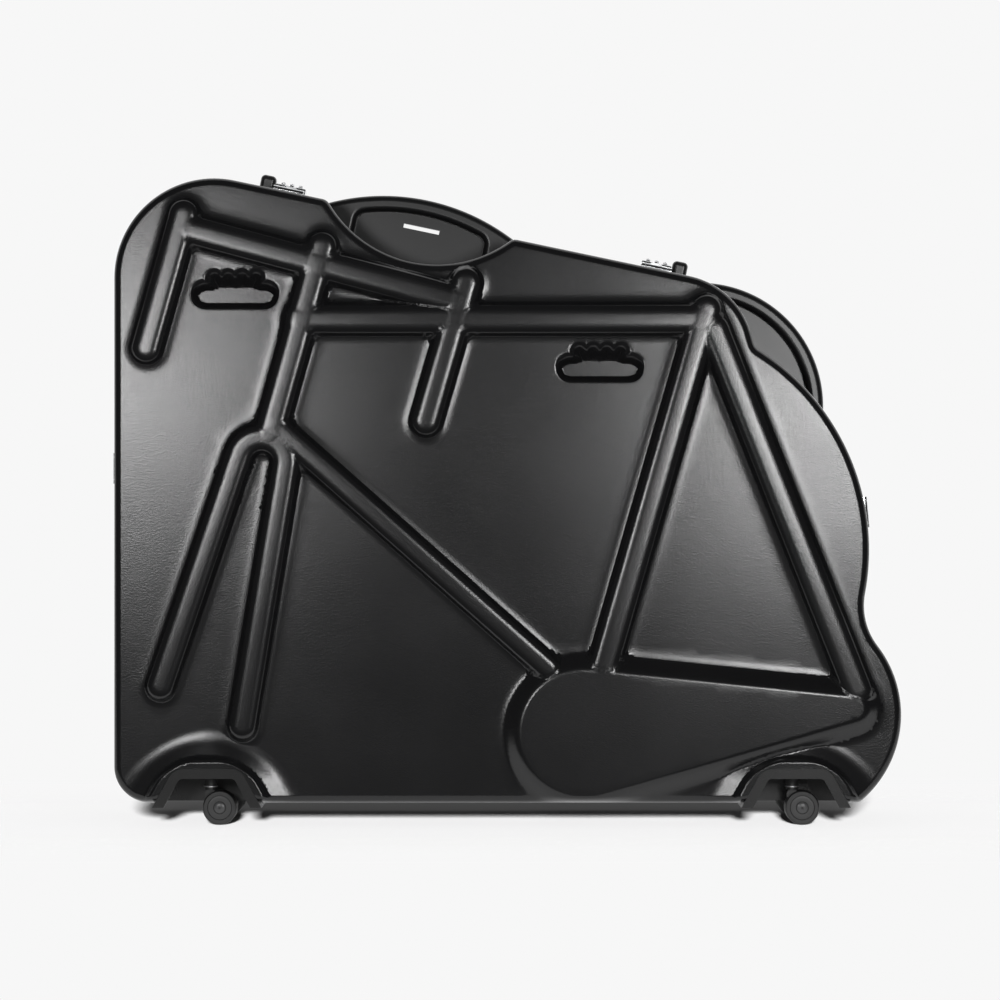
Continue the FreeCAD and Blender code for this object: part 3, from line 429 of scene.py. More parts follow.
def grip_contour(centre, clear):
    """Points round a finger grip, at a distance from it."""
    ways = np.array([unit(FULL_TURN * k / GRIP_POINTS) for k in range(GRIP_POINTS)])
    low = np.zeros(GRIP_POINTS)
    high = low + GRIP_HALF + LOBE_RISE + GRIP_R
    for _ in range(CONTOUR_ROUNDS):
        middle = (low + high) / 2
        inside = from_grip_bars(centre + ways * middle, centre) < clear
        low = np.where(inside, middle, low)
        high = np.where(inside, high, middle)
    return centre + ways * low


GRIP_EDGES = {centre: grip_contour(centre, 0) for centre in GRIPS}


def from_grip(p, centre):
    gap = from_loop(p, GRIP_EDGES[centre])
    return np.where(from_grip_bars(p, centre) < 0, -gap, gap)


def soft_max(a, b, blend):
    return np.maximum(a, b) + np.maximum(blend - np.abs(a - b), 0) ** 2 / (4 * blend)


def soft_min(a, b, blend):
    return -soft_max(-a, -b, blend)


def rib_height(distance, width):
    """Height of a rib's section: a flattened round crest with straight flanks."""
    half = width / 2 * RIB_CREST
    across = np.minimum(distance / half, FLANK_START)
    rest = 1 - across ** RIB_POWER
    crest = RELIEF_H * rest ** (1 / RIB_POWER)
    steepness = FLANK_START ** (RIB_POWER - 1) * (1 - FLANK_START ** RIB_POWER) ** (1 / RIB_POWER - 1)
    return crest - np.maximum(distance - half * FLANK_START, 0) * steepness * RELIEF_H / half


def bank_height(distance, slope):
    """Height of a flat rise with sloped sides, which drops away faster below its foot."""
    side = RELIEF_H * (1 - distance / slope)
    side = np.where(distance > slope, (slope - distance) * DROP, side)
    return soft_min(RELIEF_H, side, BANK_BLEND)


def flare_height(p):
    """Height of the wheel arches' surrounds: a lip that rolls down to a gentle flare."""
    gap = from_arches(p) - LIP_BAND
    lip = soft_min(RELIEF_H, RELIEF_H * (1 - gap / LIP_SLOPE), LIP_BLEND)
    flare = FLARE_H * (1 - gap / FLARE_SLOPE)
    return soft_max(soft_max(lip, flare, FLARE_BLEND), 0, FLARE_FOOT)


def joined(one, other):
    """The higher of two forms, crisp between their crests and with filled corners lower down."""
    share = np.clip(np.maximum(one, other) / RELIEF_H, 0, 1)
    return soft_max(one, other, CORNER_BLEND + (CREST_BLEND - CORNER_BLEND) * share)


def relief(p):
    """Height of the raised forms, with a shallow apron round their feet."""
    height = rib_height(from_fork(p), FORK_W)
    for a, b, width in RIBS:
        height = joined(height, rib_height(from_segment(p, a, b), width))
    height = joined(height, bank_height(from_guard(p), GUARD_SLOPE))
    apron = APRON_H * (1 + np.minimum(height, 0) / (DROP * APRON_W))
    raised = soft_max(soft_max(height, apron, FLANK_BLEND), 0, FOOT_BLEND)
    flare = flare_height(p)
    return soft_max(raised, flare, np.clip(np.minimum(raised, flare), TINY, FLARE_BLEND))


def face_height(p):
    """How far the face stands out from its plane, with its rounded edge and finger grips."""
    share = np.clip(from_loop(p, OUTLINE) / EDGE_ROUND, 0, 1)
    round_off = np.sqrt(1 - (1 - share) ** 2)
    height = (EDGE_ROUND + relief(p)) * round_off - EDGE_ROUND
    for centre in GRIPS:
        roof = np.clip((p.imag - centre.imag) / GRIP_ROOF_START, 0, 1)
        dip = GRIP_DEPTH / GRIP_DRAFT * from_grip(p, centre)
        dip = dip * (1 - (1 - GRIP_ROOF_EASE) * roof)
        dip = soft_max(dip, -GRIP_DEPTH, GRIP_FLOOR_BLEND)
        height = height + soft_min(dip, 0, GRIP_RIM_BLEND)
    return height


# Points for the face's mesh
def beside(a, b, offsets):
    """Rows of points along a line and round its ends, at the given distances from it."""
    along = (b - a) / abs(b - a)
    count = max(2, math.ceil(abs(b - a) / ALONG_STEP))
    spots = []
    for off in offsets:
        for k in range(count + 1):
            spot = a + (b - a) * k / count
            spots.extend([spot + along * 1j * off, spot - along * 1j * off])
        around = max(3, math.ceil(math.pi * off / END_STEP))
        for k in range(1, around):
            turn = math.pi * (k / around - 0.5)
            spots.extend([b + along * unit(turn) * off, a - along * unit(turn) * off])
    return spots


def ring_about(centre, radius):
    count = max(6, math.ceil(FULL_TURN * radius / ALONG_STEP))
    return [centre + unit(FULL_TURN * k / count) * radius for k in range(count)]


def block(low, high, step):
    """A square grid of points from a low corner to a high one."""
    columns = math.ceil((high.real - low.real) / step)
    rows = math.ceil((high.imag - low.imag) / step)
    return np.array([low + complex(i, j) * step for i in range(columns) for j in range(rows)])


def feature_points():
    """Points that follow the grips, ribs, guard and flares."""
    spots = []
    for centre in GRIPS:
        for off in GRIP_ROWS:
            spots.extend(grip_contour(centre, off))
        corner = complex(GRIP_HALF + GRIP_R, GRIP_R)
        hollow = block(centre - corner, centre + corner + LOBE_RISE * 1j, GRIP_STEP)
        spots.extend(hollow[from_grip_bars(hollow, centre) < -GRIP_STEP / 2])
    for a, b, width in RIBS:
        spots.extend(beside(a, b, RIB_ROWS * width / 2))
    for a, b in FORK_LEGS:
        spots.extend(beside(a, b, RIB_ROWS * FORK_W / 2))
    for off in RIB_ROWS * FORK_W / 2:
        for radius in (CROWN_R + off, CROWN_R - off):
            spots.extend(ring_about(CROWN, radius))
    for off in GUARD_ROWS:
        row = ring_about(GUARD_BIG, GUARD_BIG_R + off)
        row.extend(ring_about(GUARD_SMALL, GUARD_SMALL_R + off))
        for way in (-1, 1):
            side = GUARD_AXIS * unit(way * math.acos(GUARD_LEAN))
            row.extend(walk(Straight(0j, 1 + 0j), GUARD_BIG + side * (GUARD_BIG_R + off),
                            GUARD_SMALL + side * (GUARD_SMALL_R + off), ALONG_STEP))
        row = np.array(row)
        spots.extend(row[from_guard(row) > off - ROW_SLACK])
    for x in ARCHES:
        rim, inward = arch_rim(x)
        for off in FLARE_ROWS:
            row = rim + inward * off
            for _ in range(ROW_ROUNDS):
                row = row + inward * (off - from_arch(row, x))
            spots.extend(row)
    for fine in FINE_BLOCKS:
        spots.extend(block(*fine))
    return spots


def flat_points():
    """A triangle grid over the whole face."""
    low, high = complex(LEFT_X, BASE_Z), complex(RIGHT_X, OUTLINE.imag.max())
    row_step = FLAT_STEP * math.sqrt(0.75)
    spots = []
    for row in range(math.ceil((high.imag - low.imag) / row_step)):
        shift = FLAT_STEP / 2 * (row % 2)
        for column in range(math.ceil((high.real - low.real) / FLAT_STEP)):
            spots.append(low + complex(column * FLAT_STEP + shift, row * row_step))
    return spots


def thinned(taken, groups):
    """The points of each group that keep its distance from all points before them."""
    cell = max(gap for gap, group in groups)
    table = {}

    def cell_of(p):
        return math.floor(p.real / cell), math.floor(p.imag / cell)

    def enter(p):
        table.setdefault(cell_of(p), []).append(p)

    def clear(p, gap):
        i, j = cell_of(p)
        near = (q for a in (-1, 0, 1) for b in (-1, 0, 1) for q in table.get((i + a, j + b), ()))
        return all(abs(p - q) >= gap for q in near)

    for p in taken:
        enter(p)
    kept = []
    for gap, group in groups:
        for p in group:
            if clear(p, gap):
                enter(p)
                kept.append(p)
    return kept


def triangulated(loops, spots):
    """Triangles inside the first loop and outside the others, and the places of the loops' points."""
    flat = []
    edges = []
    for loop in loops:
        first = len(flat)
        flat.extend(loop)
        edges.extend((first + k, first + (k + 1) % len(loop)) for k in range(len(loop)))
    count = len(flat)
    flat = [Vector((p.real, p.imag)) for p in [*flat, *spots]]
    verts, _, faces, sources, _, _ = delaunay_2d_cdt(flat, edges, [], INSIDE, JOIN_SLACK)
    place = {source: k for k, group in enumerate(sources) for source in group}
    points = np.array([complex(*v) for v in verts])
    faces = np.array(faces)
    middles = points[faces].mean(axis=1)
    for hole in loops[1:]:
        faces = faces[~within(middles, hole)]
        middles = points[faces].mean(axis=1)
    return points, faces.tolist(), [place[k] for k in range(count)], [[place[i] for i in e] for e in edges]


def face_mesh():
    """The face's points and triangles, and the places of its edge's points."""
    loop = []
    on_outline = {}
    for k, p in enumerate(OUTLINE):
        if SPANS[k] is None:
            on_outline[k] = len(loop)
            loop.append(p)
        elif SPANS[k - 1] is None:
            rim, _ = arch_rim(ARCHES[SPANS[k]])
            loop.extend(rim[1:])
    rings = []
    for degrees in EDGE_TURNS:
        inset = EDGE_ROUND * (1 - math.cos(math.radians(degrees)))
        rings.extend(OUTLINE + INWARD * inset)
    rings = np.array(rings)
    rings = rings[from_arches(rings) > ARCH_ROOM]
    groups = []
    for gap, spots in ((MIN_GAP, feature_points()), (FLAT_GAP, flat_points())):
        spots = np.array(spots)
        spots = spots[within(spots, OUTLINE)]
        spots = spots[from_arches(spots) > ARCH_ROOM]
        groups.append((gap, spots[from_loop(spots, OUTLINE) > EDGE_ROUND + MIN_GAP]))
    inside = thinned([*loop, *rings], groups)
    points, faces, order, _ = triangulated([loop], [*rings, *inside])
    edge = {k: order[n] for k, n in on_outline.items()}
    return points, faces, edge


def placed(name, data):
    """A new object in the scene."""
    obj = bpy.data.objects.new(name, data)
    bpy.context.scene.collection.objects.link(obj)
    return obj


def new_object(name, verts, faces, material):
    mesh = bpy.data.meshes.new(name)
    mesh.from_pydata(verts, [], faces)
    mesh.validate()
    obj = placed(name, mesh)
    mesh.materials.append(material)
    return obj


def band(here, there, size):
    """Faces between two closed rows of points, given the first point of each."""
    turns = [(k, (k + 1) % size) for k in range(size)]
    return [(here + k, here + after, there + after, there + k) for k, after in turns]


def finished(obj, sharp=SHARP):
    """Applies the modifiers, shades smooth and marks the sharp edges."""
    depsgraph = bpy.context.evaluated_depsgraph_get()
    mesh = bpy.data.meshes.new_from_object(obj.evaluated_get(depsgraph))
    obj.modifiers.clear()
    old = obj.data
    obj.data = mesh
    bpy.data.meshes.remove(old)
    mesh.name = obj.name
    mesh.shade_smooth()
    mesh.set_sharp_from_angle(angle=sharp)
    return obj


FACE_POINTS, FACE_TRIANGLES, FACE_EDGE = face_mesh()
FACE_HEIGHT = face_height(FACE_POINTS)
FACE_LEAN = [(face_height(FACE_POINTS + step) - FACE_HEIGHT) / PROBE for step in (PROBE, PROBE * 1j)]
WALL_ROWS = (0.120, 0.080, ARCH_BACK, 0.016, RIM_Y)


def shell(name, side, body):
    """One moulded half: the face and the wall round it; side is -1 for the lid."""
    verts = [(p.real, side * (HALF_DEPTH + h), p.imag) for p, h in zip(FACE_POINTS, FACE_HEIGHT)]
    faces = [f if side < 0 else f[::-1] for f in FACE_TRIANGLES]
    count = len(OUTLINE)
    rows = [dict(FACE_EDGE)]
    for depth in WALL_ROWS:
        row = {}
        for k, p in enumerate(OUTLINE):
            if SPANS[k] is None or depth <= ARCH_BACK:
                row[k] = len(verts)
                verts.append((p.real, side * depth, p.imag))
        rows.append(row)
    for front, back in zip(rows, rows[1:]):
        for k in range(count):
            after = (k + 1) % count
            in_arch = SPANS[k] is not None or SPANS[after] is not None
            if in_arch and not (k in front and after in front):
                continue
            quad = (front[k], front[after], back[after], back[k])
            faces.append(quad if side < 0 else quad[::-1])
    obj = new_object(name, verts, faces, SHELL_BLACK)
    thick = obj.modifiers.new("wall", "SOLIDIFY")
    thick.thickness = WALL
    thick.offset = -1
    finished(obj)
    true_normals(obj.data, side)
    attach(obj, body)
    return obj


def column(items, key, kind, width=1):
    """One property of all the items, as an array."""
    values = np.empty(len(items) * width, kind)
    items.foreach_get(key, values)
    return values


def true_normals(mesh, side):
    """Gives the face's triangles the relief's own normals in place of the mesh's."""
    vertex = column(mesh.loops, "vertex_index", np.int32)
    starts = column(mesh.polygons, "loop_start", np.int32)
    totals = column(mesh.polygons, "loop_total", np.int32)
    normals = column(mesh.corner_normals, "vector", np.float32, 3).reshape(-1, 3)
    on_face = np.repeat(np.logical_and.reduceat(vertex < len(FACE_POINTS), starts), totals)
    on_face &= ~np.isin(vertex, list(FACE_EDGE.values()))
    lean_x, lean_z = FACE_LEAN
    true = np.stack([-lean_x, side + 0 * lean_x, -lean_z], axis=1)
    true /= np.linalg.norm(true, axis=1)[:, None]
    normals[on_face] = true[vertex[on_face]]
    mesh.normals_split_custom_set(normals.tolist())


# Materials. Depths are in metres and scales count features to the metre.
# A noise is (scale, detail) and a wave is (scale, distortion).
PEBBLE_SMOOTH = 0.6
GRAIN_FINE = 2.2
GRAIN_DETAIL = 2.0
MOTTLE = (6.0, 3.0)
MOULD_GLOSS = 0.03
STREAK_STRETCH = (0.05, 1, 1)
STREAK_DETAIL = 3.0
STAINS = (90.0, 3.0)
METAL_GLOSS = (-0.06, 0.08)
PITS = (1800.0, 4.0)
PIT_DEPTH = 0.00004
BLOOM = (40.0, 4.0)
RUBBER_GLOSS = 0.06
PORE_SCALE = 900.0
PORE_DEPTH = 0.00025
SKIN = (14.0, 5.0)
FOAM_GLOSS = (0.82, 0.95)
FOAM_SHEEN = 0.2
WARP = (130.0, 0.4)
WEFT = (260.0, 0.6)
FUZZ = (700.0, 3.0)
YARN_DEPTH = 0.0003
WEB_GLOSS = (0.6, 0.85)
WEB_SHEEN = 0.35


def node_material(name):
    material = bpy.data.materials.new(name)
    material.use_nodes = True
    tree = material.node_tree
    return material, tree, tree.nodes["Principled BSDF"]


def put(tree, kind, **settings):
    """Adds a node; each setting is one of its properties or sockets."""
    node = tree.nodes.new(kind)
    for key, value in settings.items():
        if hasattr(node, key):
            setattr(node, key, value)
        else:
            node.inputs[key.replace("_", " ").title()].default_value = value
    return node


def textured(tree, kind, **settings):
    """A texture fixed to the object."""
    place = put(tree, "ShaderNodeTexCoord")
    texture = put(tree, kind, **settings)
    tree.links.new(place.outputs["Object"], texture.inputs["Vector"])
    return texture


def noise(tree, scale, detail):
    return textured(tree, "ShaderNodeTexNoise", scale=scale, detail=detail).outputs["Fac"]


def woven(tree, way, scale, distortion):
    rows = textured(tree, "ShaderNodeTexWave", bands_direction=way, scale=scale, distortion=distortion)
    return rows.outputs["Fac"]


def surfaced(tree, shader, tone, dark, light, wear, gloss, height, depth):
    """Colour between two tints, roughness between two levels and bumps, each led by a texture."""
    link = tree.links.new
    tint = put(tree, "ShaderNodeMix", data_type="RGBA")
    tint.inputs["A"].default_value = (*dark, 1)
    tint.inputs["B"].default_value = (*light, 1)
    link(tone, tint.inputs["Factor"])
    link(tint.outputs["Result"], shader.inputs["Base Color"])
    spread = put(tree, "ShaderNodeMapRange", to_min=gloss[0], to_max=gloss[1])
    link(wear, spread.inputs["Value"])
    link(spread.outputs["Result"], shader.inputs["Roughness"])
    bump = put(tree, "ShaderNodeBump", strength=1.0, distance=depth)
    link(height, bump.inputs["Height"])
    link(bump.outputs["Normal"], shader.inputs["Normal"])


def worked(tree, operation, one, other):
    """The outcome of a sum on two values."""
    node = put(tree, "ShaderNodeMath", operation=operation)
    tree.links.new(one, node.inputs[0])
    tree.links.new(other, node.inputs[1])
    return node.outputs[0]


def grey(level, blue=None):
    return (level, level, level if blue is None else blue)


def moulded(name, dark, light, rough, grain, depth):
    """Moulded plastic: a fine pebbled grain, faint mottling and uneven gloss."""
    material, tree, shader = node_material(name)
    pebbles = textured(tree, "ShaderNodeTexVoronoi", feature="SMOOTH_F1", scale=1 / grain,
                       smoothness=PEBBLE_SMOOTH)
    fine = noise(tree, GRAIN_FINE / grain, GRAIN_DETAIL)
    height = worked(tree, "ADD", pebbles.outputs["Distance"], fine)
    wide = noise(tree, *MOTTLE)
    gloss = (rough - MOULD_GLOSS, rough + MOULD_GLOSS)
    surfaced(tree, shader, wide, dark, light, wide, gloss, height, depth)
    return material


def metal(name, dark, light, rough, streak, depth):
    """Worked metal: fine streaks along its length, small stains and uneven gloss."""
    material, tree, shader = node_material(name)
    shader.inputs["Metallic"].default_value = 1.0
    stretch = textured(tree, "ShaderNodeMapping", scale=STREAK_STRETCH)
    lines = put(tree, "ShaderNodeTexNoise", scale=1 / streak, detail=STREAK_DETAIL)
    tree.links.new(stretch.outputs["Vector"], lines.inputs["Vector"])
    stains = noise(tree, *STAINS)
    gloss = (rough + METAL_GLOSS[0], rough + METAL_GLOSS[1])
    surfaced(tree, shader, stains, dark, light, stains, gloss, lines.outputs["Fac"], depth)
    return material


def rubber(name, dark, light, rough):
    """Rubber with a dusty bloom and fine pits."""
    material, tree, shader = node_material(name)
    bloom = noise(tree, *BLOOM)
    gloss = (rough - RUBBER_GLOSS, rough + RUBBER_GLOSS)
    surfaced(tree, shader, bloom, dark, light, bloom, gloss, noise(tree, *PITS), PIT_DEPTH)
    return material


def foam(name, dark, light):
    """Closed-cell foam: small pores over a slightly mottled skin."""
    material, tree, shader = node_material(name)
    pores = textured(tree, "ShaderNodeTexVoronoi", feature="F1", scale=PORE_SCALE)
    skin = noise(tree, *SKIN)
    surfaced(tree, shader, skin, dark, light, skin, FOAM_GLOSS, pores.outputs["Distance"], PORE_DEPTH)
    shader.inputs["Sheen Weight"].default_value = FOAM_SHEEN
    return material


def webbing(name, dark, light):
    """Woven strap: crossed rows of yarn along and across it."""
    material, tree, shader = node_material(name)
    yarn = worked(tree, "MULTIPLY", woven(tree, "Z", *WARP), woven(tree, "X", *WEFT))
    fuzz = noise(tree, *FUZZ)
    height = worked(tree, "ADD", yarn, fuzz)
    surfaced(tree, shader, yarn, dark, light, fuzz, WEB_GLOSS, height, YARN_DEPTH)
    shader.inputs["Sheen Weight"].default_value = WEB_SHEEN
    return material


# Dark and light tint, roughness, and the grain's or streak's size and depth
SHELL_BLACK = moulded("shell_black", grey(0.0060, 0.0064), grey(0.0085, 0.009), 0.19, 0.0020, 6e-5)
HANDLE_BLACK = moulded("handle_black", grey(0.007, 0.0075), grey(0.010, 0.0105), 0.30, 0.0012, 1e-5)
HOUSING_BLACK = moulded("housing_black", grey(0.006), grey(0.009), 0.27, 0.0010, 2e-5)
FORK_BLACK = moulded("fork_black", grey(0.008), grey(0.012), 0.32, 0.0008, 2e-5)
MOUNT_BLACK = moulded("mount_black", grey(0.010), grey(0.015), 0.36, 0.0009, 2e-5)
SLIDER_BLACK = moulded("slider_black", grey(0.012), grey(0.018), 0.28, 0.0006, 1e-5)
BUCKLE_BLACK = moulded("buckle_black", grey(0.014, 0.015), grey(0.020, 0.021), 0.36, 0.0008, 2e-5)
FRAME_GREY = metal("frame_grey", grey(0.10, 0.105), grey(0.16, 0.165), 0.42, 0.0008, 2e-5)
CHROME = metal("chrome", (0.70, 0.71, 0.72), (0.80, 0.81, 0.82), 0.16, 0.0006, 6e-6)
STEEL = metal("steel", grey(0.52, 0.53), grey(0.66, 0.67), 0.30, 0.0005, 1e-5)
HINGE_STEEL = metal("hinge_steel", grey(0.42, 0.43), grey(0.54, 0.55), 0.36, 0.0004, 2e-5)
DIAL_METAL = metal("dial_metal", grey(0.55, 0.56), grey(0.66, 0.67), 0.26, 0.0004, 1e-5)
TREAD_RUBBER = rubber("tread_rubber", grey(0.007), grey(0.012), 0.42)
GASKET_RUBBER = rubber("gasket_rubber", grey(0.016), grey(0.026, 0.025), 0.62)
LINER_FOAM = foam("liner_foam", (0.046, 0.047, 0.050), (0.072, 0.073, 0.077))
DISC_GREY = moulded("disc_grey", grey(0.020), grey(0.030), 0.34, 0.0006, 1e-5)
CAP_GREY = moulded("cap_grey", grey(0.045, 0.046), grey(0.065, 0.066), 0.30, 0.0005, 6e-6)
NUMBER_INK = moulded("number_ink", grey(0.008), grey(0.012), 0.45, 0.0004, 4e-6)
STRAP_WEB = webbing("strap_web", grey(0.012, 0.013), grey(0.040, 0.042))

# Materials of the CAD nodes, by the end of their names
NODE_FINISHES = [
    (HOUSING_BLACK, "_wheel_housing"),
    (MOUNT_BLACK, "_caster_mount"),
    (FORK_BLACK, "_caster_fork"),
    (TREAD_RUBBER, "_caster_wheels"),
    (HINGE_STEEL, "_hinge_leaves"),
    (STEEL, ("_caster_kingpin", "hinge_pins", "_fasteners", "handle_screws")),
    (HANDLE_BLACK, "_handle"),
    (FRAME_GREY, "_rim_frame"),
    (GASKET_RUBBER, "rim_gasket"),
    (SLIDER_BLACK, "_slider"),
    (CHROME, ("_body", "_bracket", "_hasp")),
    (DIAL_METAL, ("_dial_1", "_dial_2", "_dial_3")),
]
for name, obj in nodes.items():
    for material, endings in NODE_FINISHES:
        if name.endswith(endings):
            obj.data.materials.clear()
            obj.data.materials.append(material)

# Case halves
for name, side, body in HALVES:
    half = shell(name + "_case", side, body)
    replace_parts(half, name + "_shell")


# Lining
LINER_T = 0.010
LINER_SEAT = 0.0003
LINER_INSET = WALL + 0.009
LINER_ROUND = 0.003
LINER_ROWS = (0.0006, 0.0014, 0.003, 0.0055)
LINER_ROW_GAP = LINER_ROWS[0] * 0.8
LINER_GAP = 0.011 * 0.6
DIMPLE_DEPTH = 0.0030
DIMPLE_PITCH = 0.066
HOLE_CLEAR = 0.0075
ARCH_CLEAR = 0.002
LINER_BACK = HALF_DEPTH - WALL - LINER_SEAT


def liner_edge():
    """The case's outline, set in, going over the wheel arches."""
    loop = []
    passed = []
    for p in OUTLINE + INWARD * LINER_INSET:
        over = [x for x in ARCHES if from_arch(np.array([p]), x)[0] < ARCH_CLEAR]
        if not over:
            loop.append(p)
        elif over[0] not in passed:
            passed.append(over[0])
            rim, inward = arch_rim(over[0])
            rim = rim + inward * ARCH_CLEAR
            loop.extend(rim[rim.imag > BASE_Z + LINER_INSET])
    return np.array(loop)


def liner_sheet():
    """Points, triangles and edges of the foam sheet, and how far its soft face is hollowed."""
    loops = [liner_edge(), *[grip_contour(centre, HOLE_CLEAR) for centre in GRIPS]]
    rows = []
    for loop in loops:
        along = np.roll(loop, -1) - np.roll(loop, 1)
        aside = along / np.abs(along) * -1j
        for off in LINER_ROWS:
            rows.extend(loop + aside * off)
    grid = np.array(flat_points())
    grid = grid[within(grid, loops[0])]
    for hole in loops[1:]:
        grid = grid[~within(grid, hole)]
    grid = grid[from_loops(grid, loops) > LINER_ROWS[-1]]
    inside = thinned(np.concatenate(loops), [(LINER_ROW_GAP, rows), (LINER_GAP, grid)])
    points, faces, _, edges = triangulated(loops, inside)
    share = np.clip(from_loops(points, loops) / LINER_ROUND, 0, 1)
    turn = FULL_TURN / DIMPLE_PITCH
    dimples = (1 + np.cos(points.real * turn) * np.cos(points.imag * turn)) / 2
    drop = LINER_ROUND * (1 - np.sqrt(1 - (1 - share) ** 2)) + DIMPLE_DEPTH * dimples * share
    return points, faces, edges, drop


LINER_POINTS, LINER_TRIANGLES, LINER_EDGES, LINER_DROP = liner_sheet()


def closed(obj):
    """Turns all faces of a closed mesh outwards."""
    work = bmesh.new()
    work.from_mesh(obj.data)
    bmesh.ops.recalc_face_normals(work, faces=work.faces)
    work.to_mesh(obj.data)
    work.free()
    return obj


def liner(name, side, body):
    count = len(LINER_POINTS)
    verts = [(p.real, side * LINER_BACK, p.imag) for p in LINER_POINTS]
    soft = LINER_BACK - LINER_T + LINER_DROP
    verts.extend((p.real, side * y, p.imag) for p, y in zip(LINER_POINTS, soft))
    faces = list(LINER_TRIANGLES)
    faces.extend([k + count for k in f[::-1]] for f in LINER_TRIANGLES)
    faces.extend((a, b, b + count, a + count) for a, b in LINER_EDGES)
    obj = finished(closed(new_object(name, verts, faces, LINER_FOAM)))
    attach(obj, body)
    return obj


for name, side, body in HALVES:
    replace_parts(liner(name + "_foam", side, body), name + "_liner")

# Hold-down straps
STRAP_W = 0.030
STRAP_T = 0.002
STRAP_HALF = 0.190
STRAP_HEIGHTS = (0.330, 0.640)
STRAP_BEND = 0.006
STRAP_STEP = 0.004
STRAP_RIPPLE = 0.0004
RIPPLE_COUNT = 9
BEND_STEPS = 6
STRAP_EDGE = 0.6
STRAP_Y = LINER_BACK - LINER_T - LINER_SEAT - STRAP_T / 2


def strap_path():
    """Middle of a strap as x + y j: out of the foam, along it and back into it."""
    start = complex(-STRAP_HALF + STRAP_T / 2, LINER_BACK)
    bend = complex(start.real + STRAP_BEND, STRAP_Y + STRAP_BEND)
    points = [start]
    for k in range(BEND_STEPS + 1):
        points.append(bend + STRAP_BEND * unit(math.pi * (1 + k / (2 * BEND_STEPS))))
    count = round(2 * -bend.real / STRAP_STEP)
    for k in range(1, count):
        share = k / count
        ripple = STRAP_RIPPLE * math.sin(RIPPLE_COUNT * math.pi * share) * math.sin(math.pi * share)
        points.append(complex(bend.real * (1 - 2 * share), STRAP_Y + ripple))
    points.extend(complex(-p.real, p.imag) for p in reversed(points[:BEND_STEPS + 2]))
    return np.array(points)


def strap_section():
    """Points round a strap's section, across and through it, with soft edges."""
    half, thick = STRAP_W / 2, STRAP_T / 2
    edge = thick * STRAP_EDGE
    across = [-half + edge, -half / 2, 0, half / 2, half - edge]
    upper = [(a, thick) for a in across]
    lower = [(a, -thick) for a in reversed(across)]
    return [*upper, (half, 0), *lower, (-half, 0)]


def straps():
    path = strap_path()
    along = np.gradient(path)
    out = along / np.abs(along) * -1j
    section = strap_section()
    size = len(section)
    verts = []
    faces = []
    for z in STRAP_HEIGHTS:
        first = len(verts)
        for p, n in zip(path, out):
            for across, through in section:
                spot = p + n * through
                verts.append((spot.real, spot.imag, z + across))
        for row in range(len(path) - 1):
            here = first + row * size
            faces.extend(band(here, here + size, size))
        faces.append(tuple(range(first, first + size)))
        faces.append(tuple(range(len(verts) - size, len(verts))))
    obj = finished(closed(new_object("straps", verts, faces, STRAP_WEB)))
    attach(obj, "rear_half")
    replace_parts(obj, "hold_down_straps")


straps()

# Side-release buckles
BUCKLE_ROUND = 0.0014
BUCKLE_SEGMENTS = 3
# Half outlines of a buckle and its pad, in shares of the buckle's half length and half width
BUCKLE_SHAPE = [(-1.0, 0.70), (-0.86, 1.0), (0.05, 1.0), (0.16, 0.86),
                (0.30, 0.96), (0.55, 0.93), (0.70, 0.68), (1.0, 0.68)]
BUCKLE_RIDGE = [(-0.62, 0.45), (-0.52, 0.58), (-0.12, 0.58), (-0.02, 0.45)]
RIDGE_SHARE = 0.14


def buckles():
    """Two buckles: a rounded plate with pressed-in sides, and a raised pad on it."""
    low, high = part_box("strap_buckles")
    middle_x = (low[0] + high[0]) / 2
    half_x = (high[0] - low[0]) / 2
    half_z = (high[2] - low[2] - STRAP_HEIGHTS[1] + STRAP_HEIGHTS[0]) / 2
    pad_y = low[1] + (high[1] - low[1]) * RIDGE_SHARE
    plate = (BUCKLE_SHAPE, pad_y, high[1])
    pad = (BUCKLE_RIDGE, low[1], (pad_y + high[1]) / 2)
    verts = []
    faces = []
    for z in STRAP_HEIGHTS:
        for shape, near, far in (plate, pad):
            outline = [*shape, *[(u, -v) for u, v in reversed(shape)]]
            first = len(verts)
            size = len(outline)
            for y in (near, far):
                verts.extend((middle_x + u * half_x, y, z + v * half_z) for u, v in outline)
            faces.append(tuple(range(first, first + size)))
            faces.append(tuple(range(first + size, first + 2 * size)))
            faces.extend(band(first, first + size, size))
    obj = closed(new_object("buckles", verts, faces, BUCKLE_BLACK))
    edge = obj.modifiers.new("edge", "BEVEL")
    edge.width = BUCKLE_ROUND
    edge.segments = BUCKLE_SEGMENTS
    edge.limit_method = "ANGLE"
    finished(obj)
    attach(obj, "rear_half")
    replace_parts(obj, "strap_buckles")


buckles()

# Wheel discs and hub caps
WHEEL_FACE = 0.0155
TURN_BACK = -0.0016
TURN_SHARP = math.radians(35)
TURN_COUNT = 48
# Sections as (radius, distance out of the wheel's face)
DISC_SECTION = [(0.0089, TURN_BACK), (0.0096, -0.0005), (0.0150, -0.0004), (0.0178, -0.0006),
                (0.0186, TURN_BACK)]
CAP_SECTION = [(0.0017, -0.0002), (0.0021, 0.0008), (0.0045, 0.0007), (0.0070, 0.0004), (0.0086, -0.0004)]


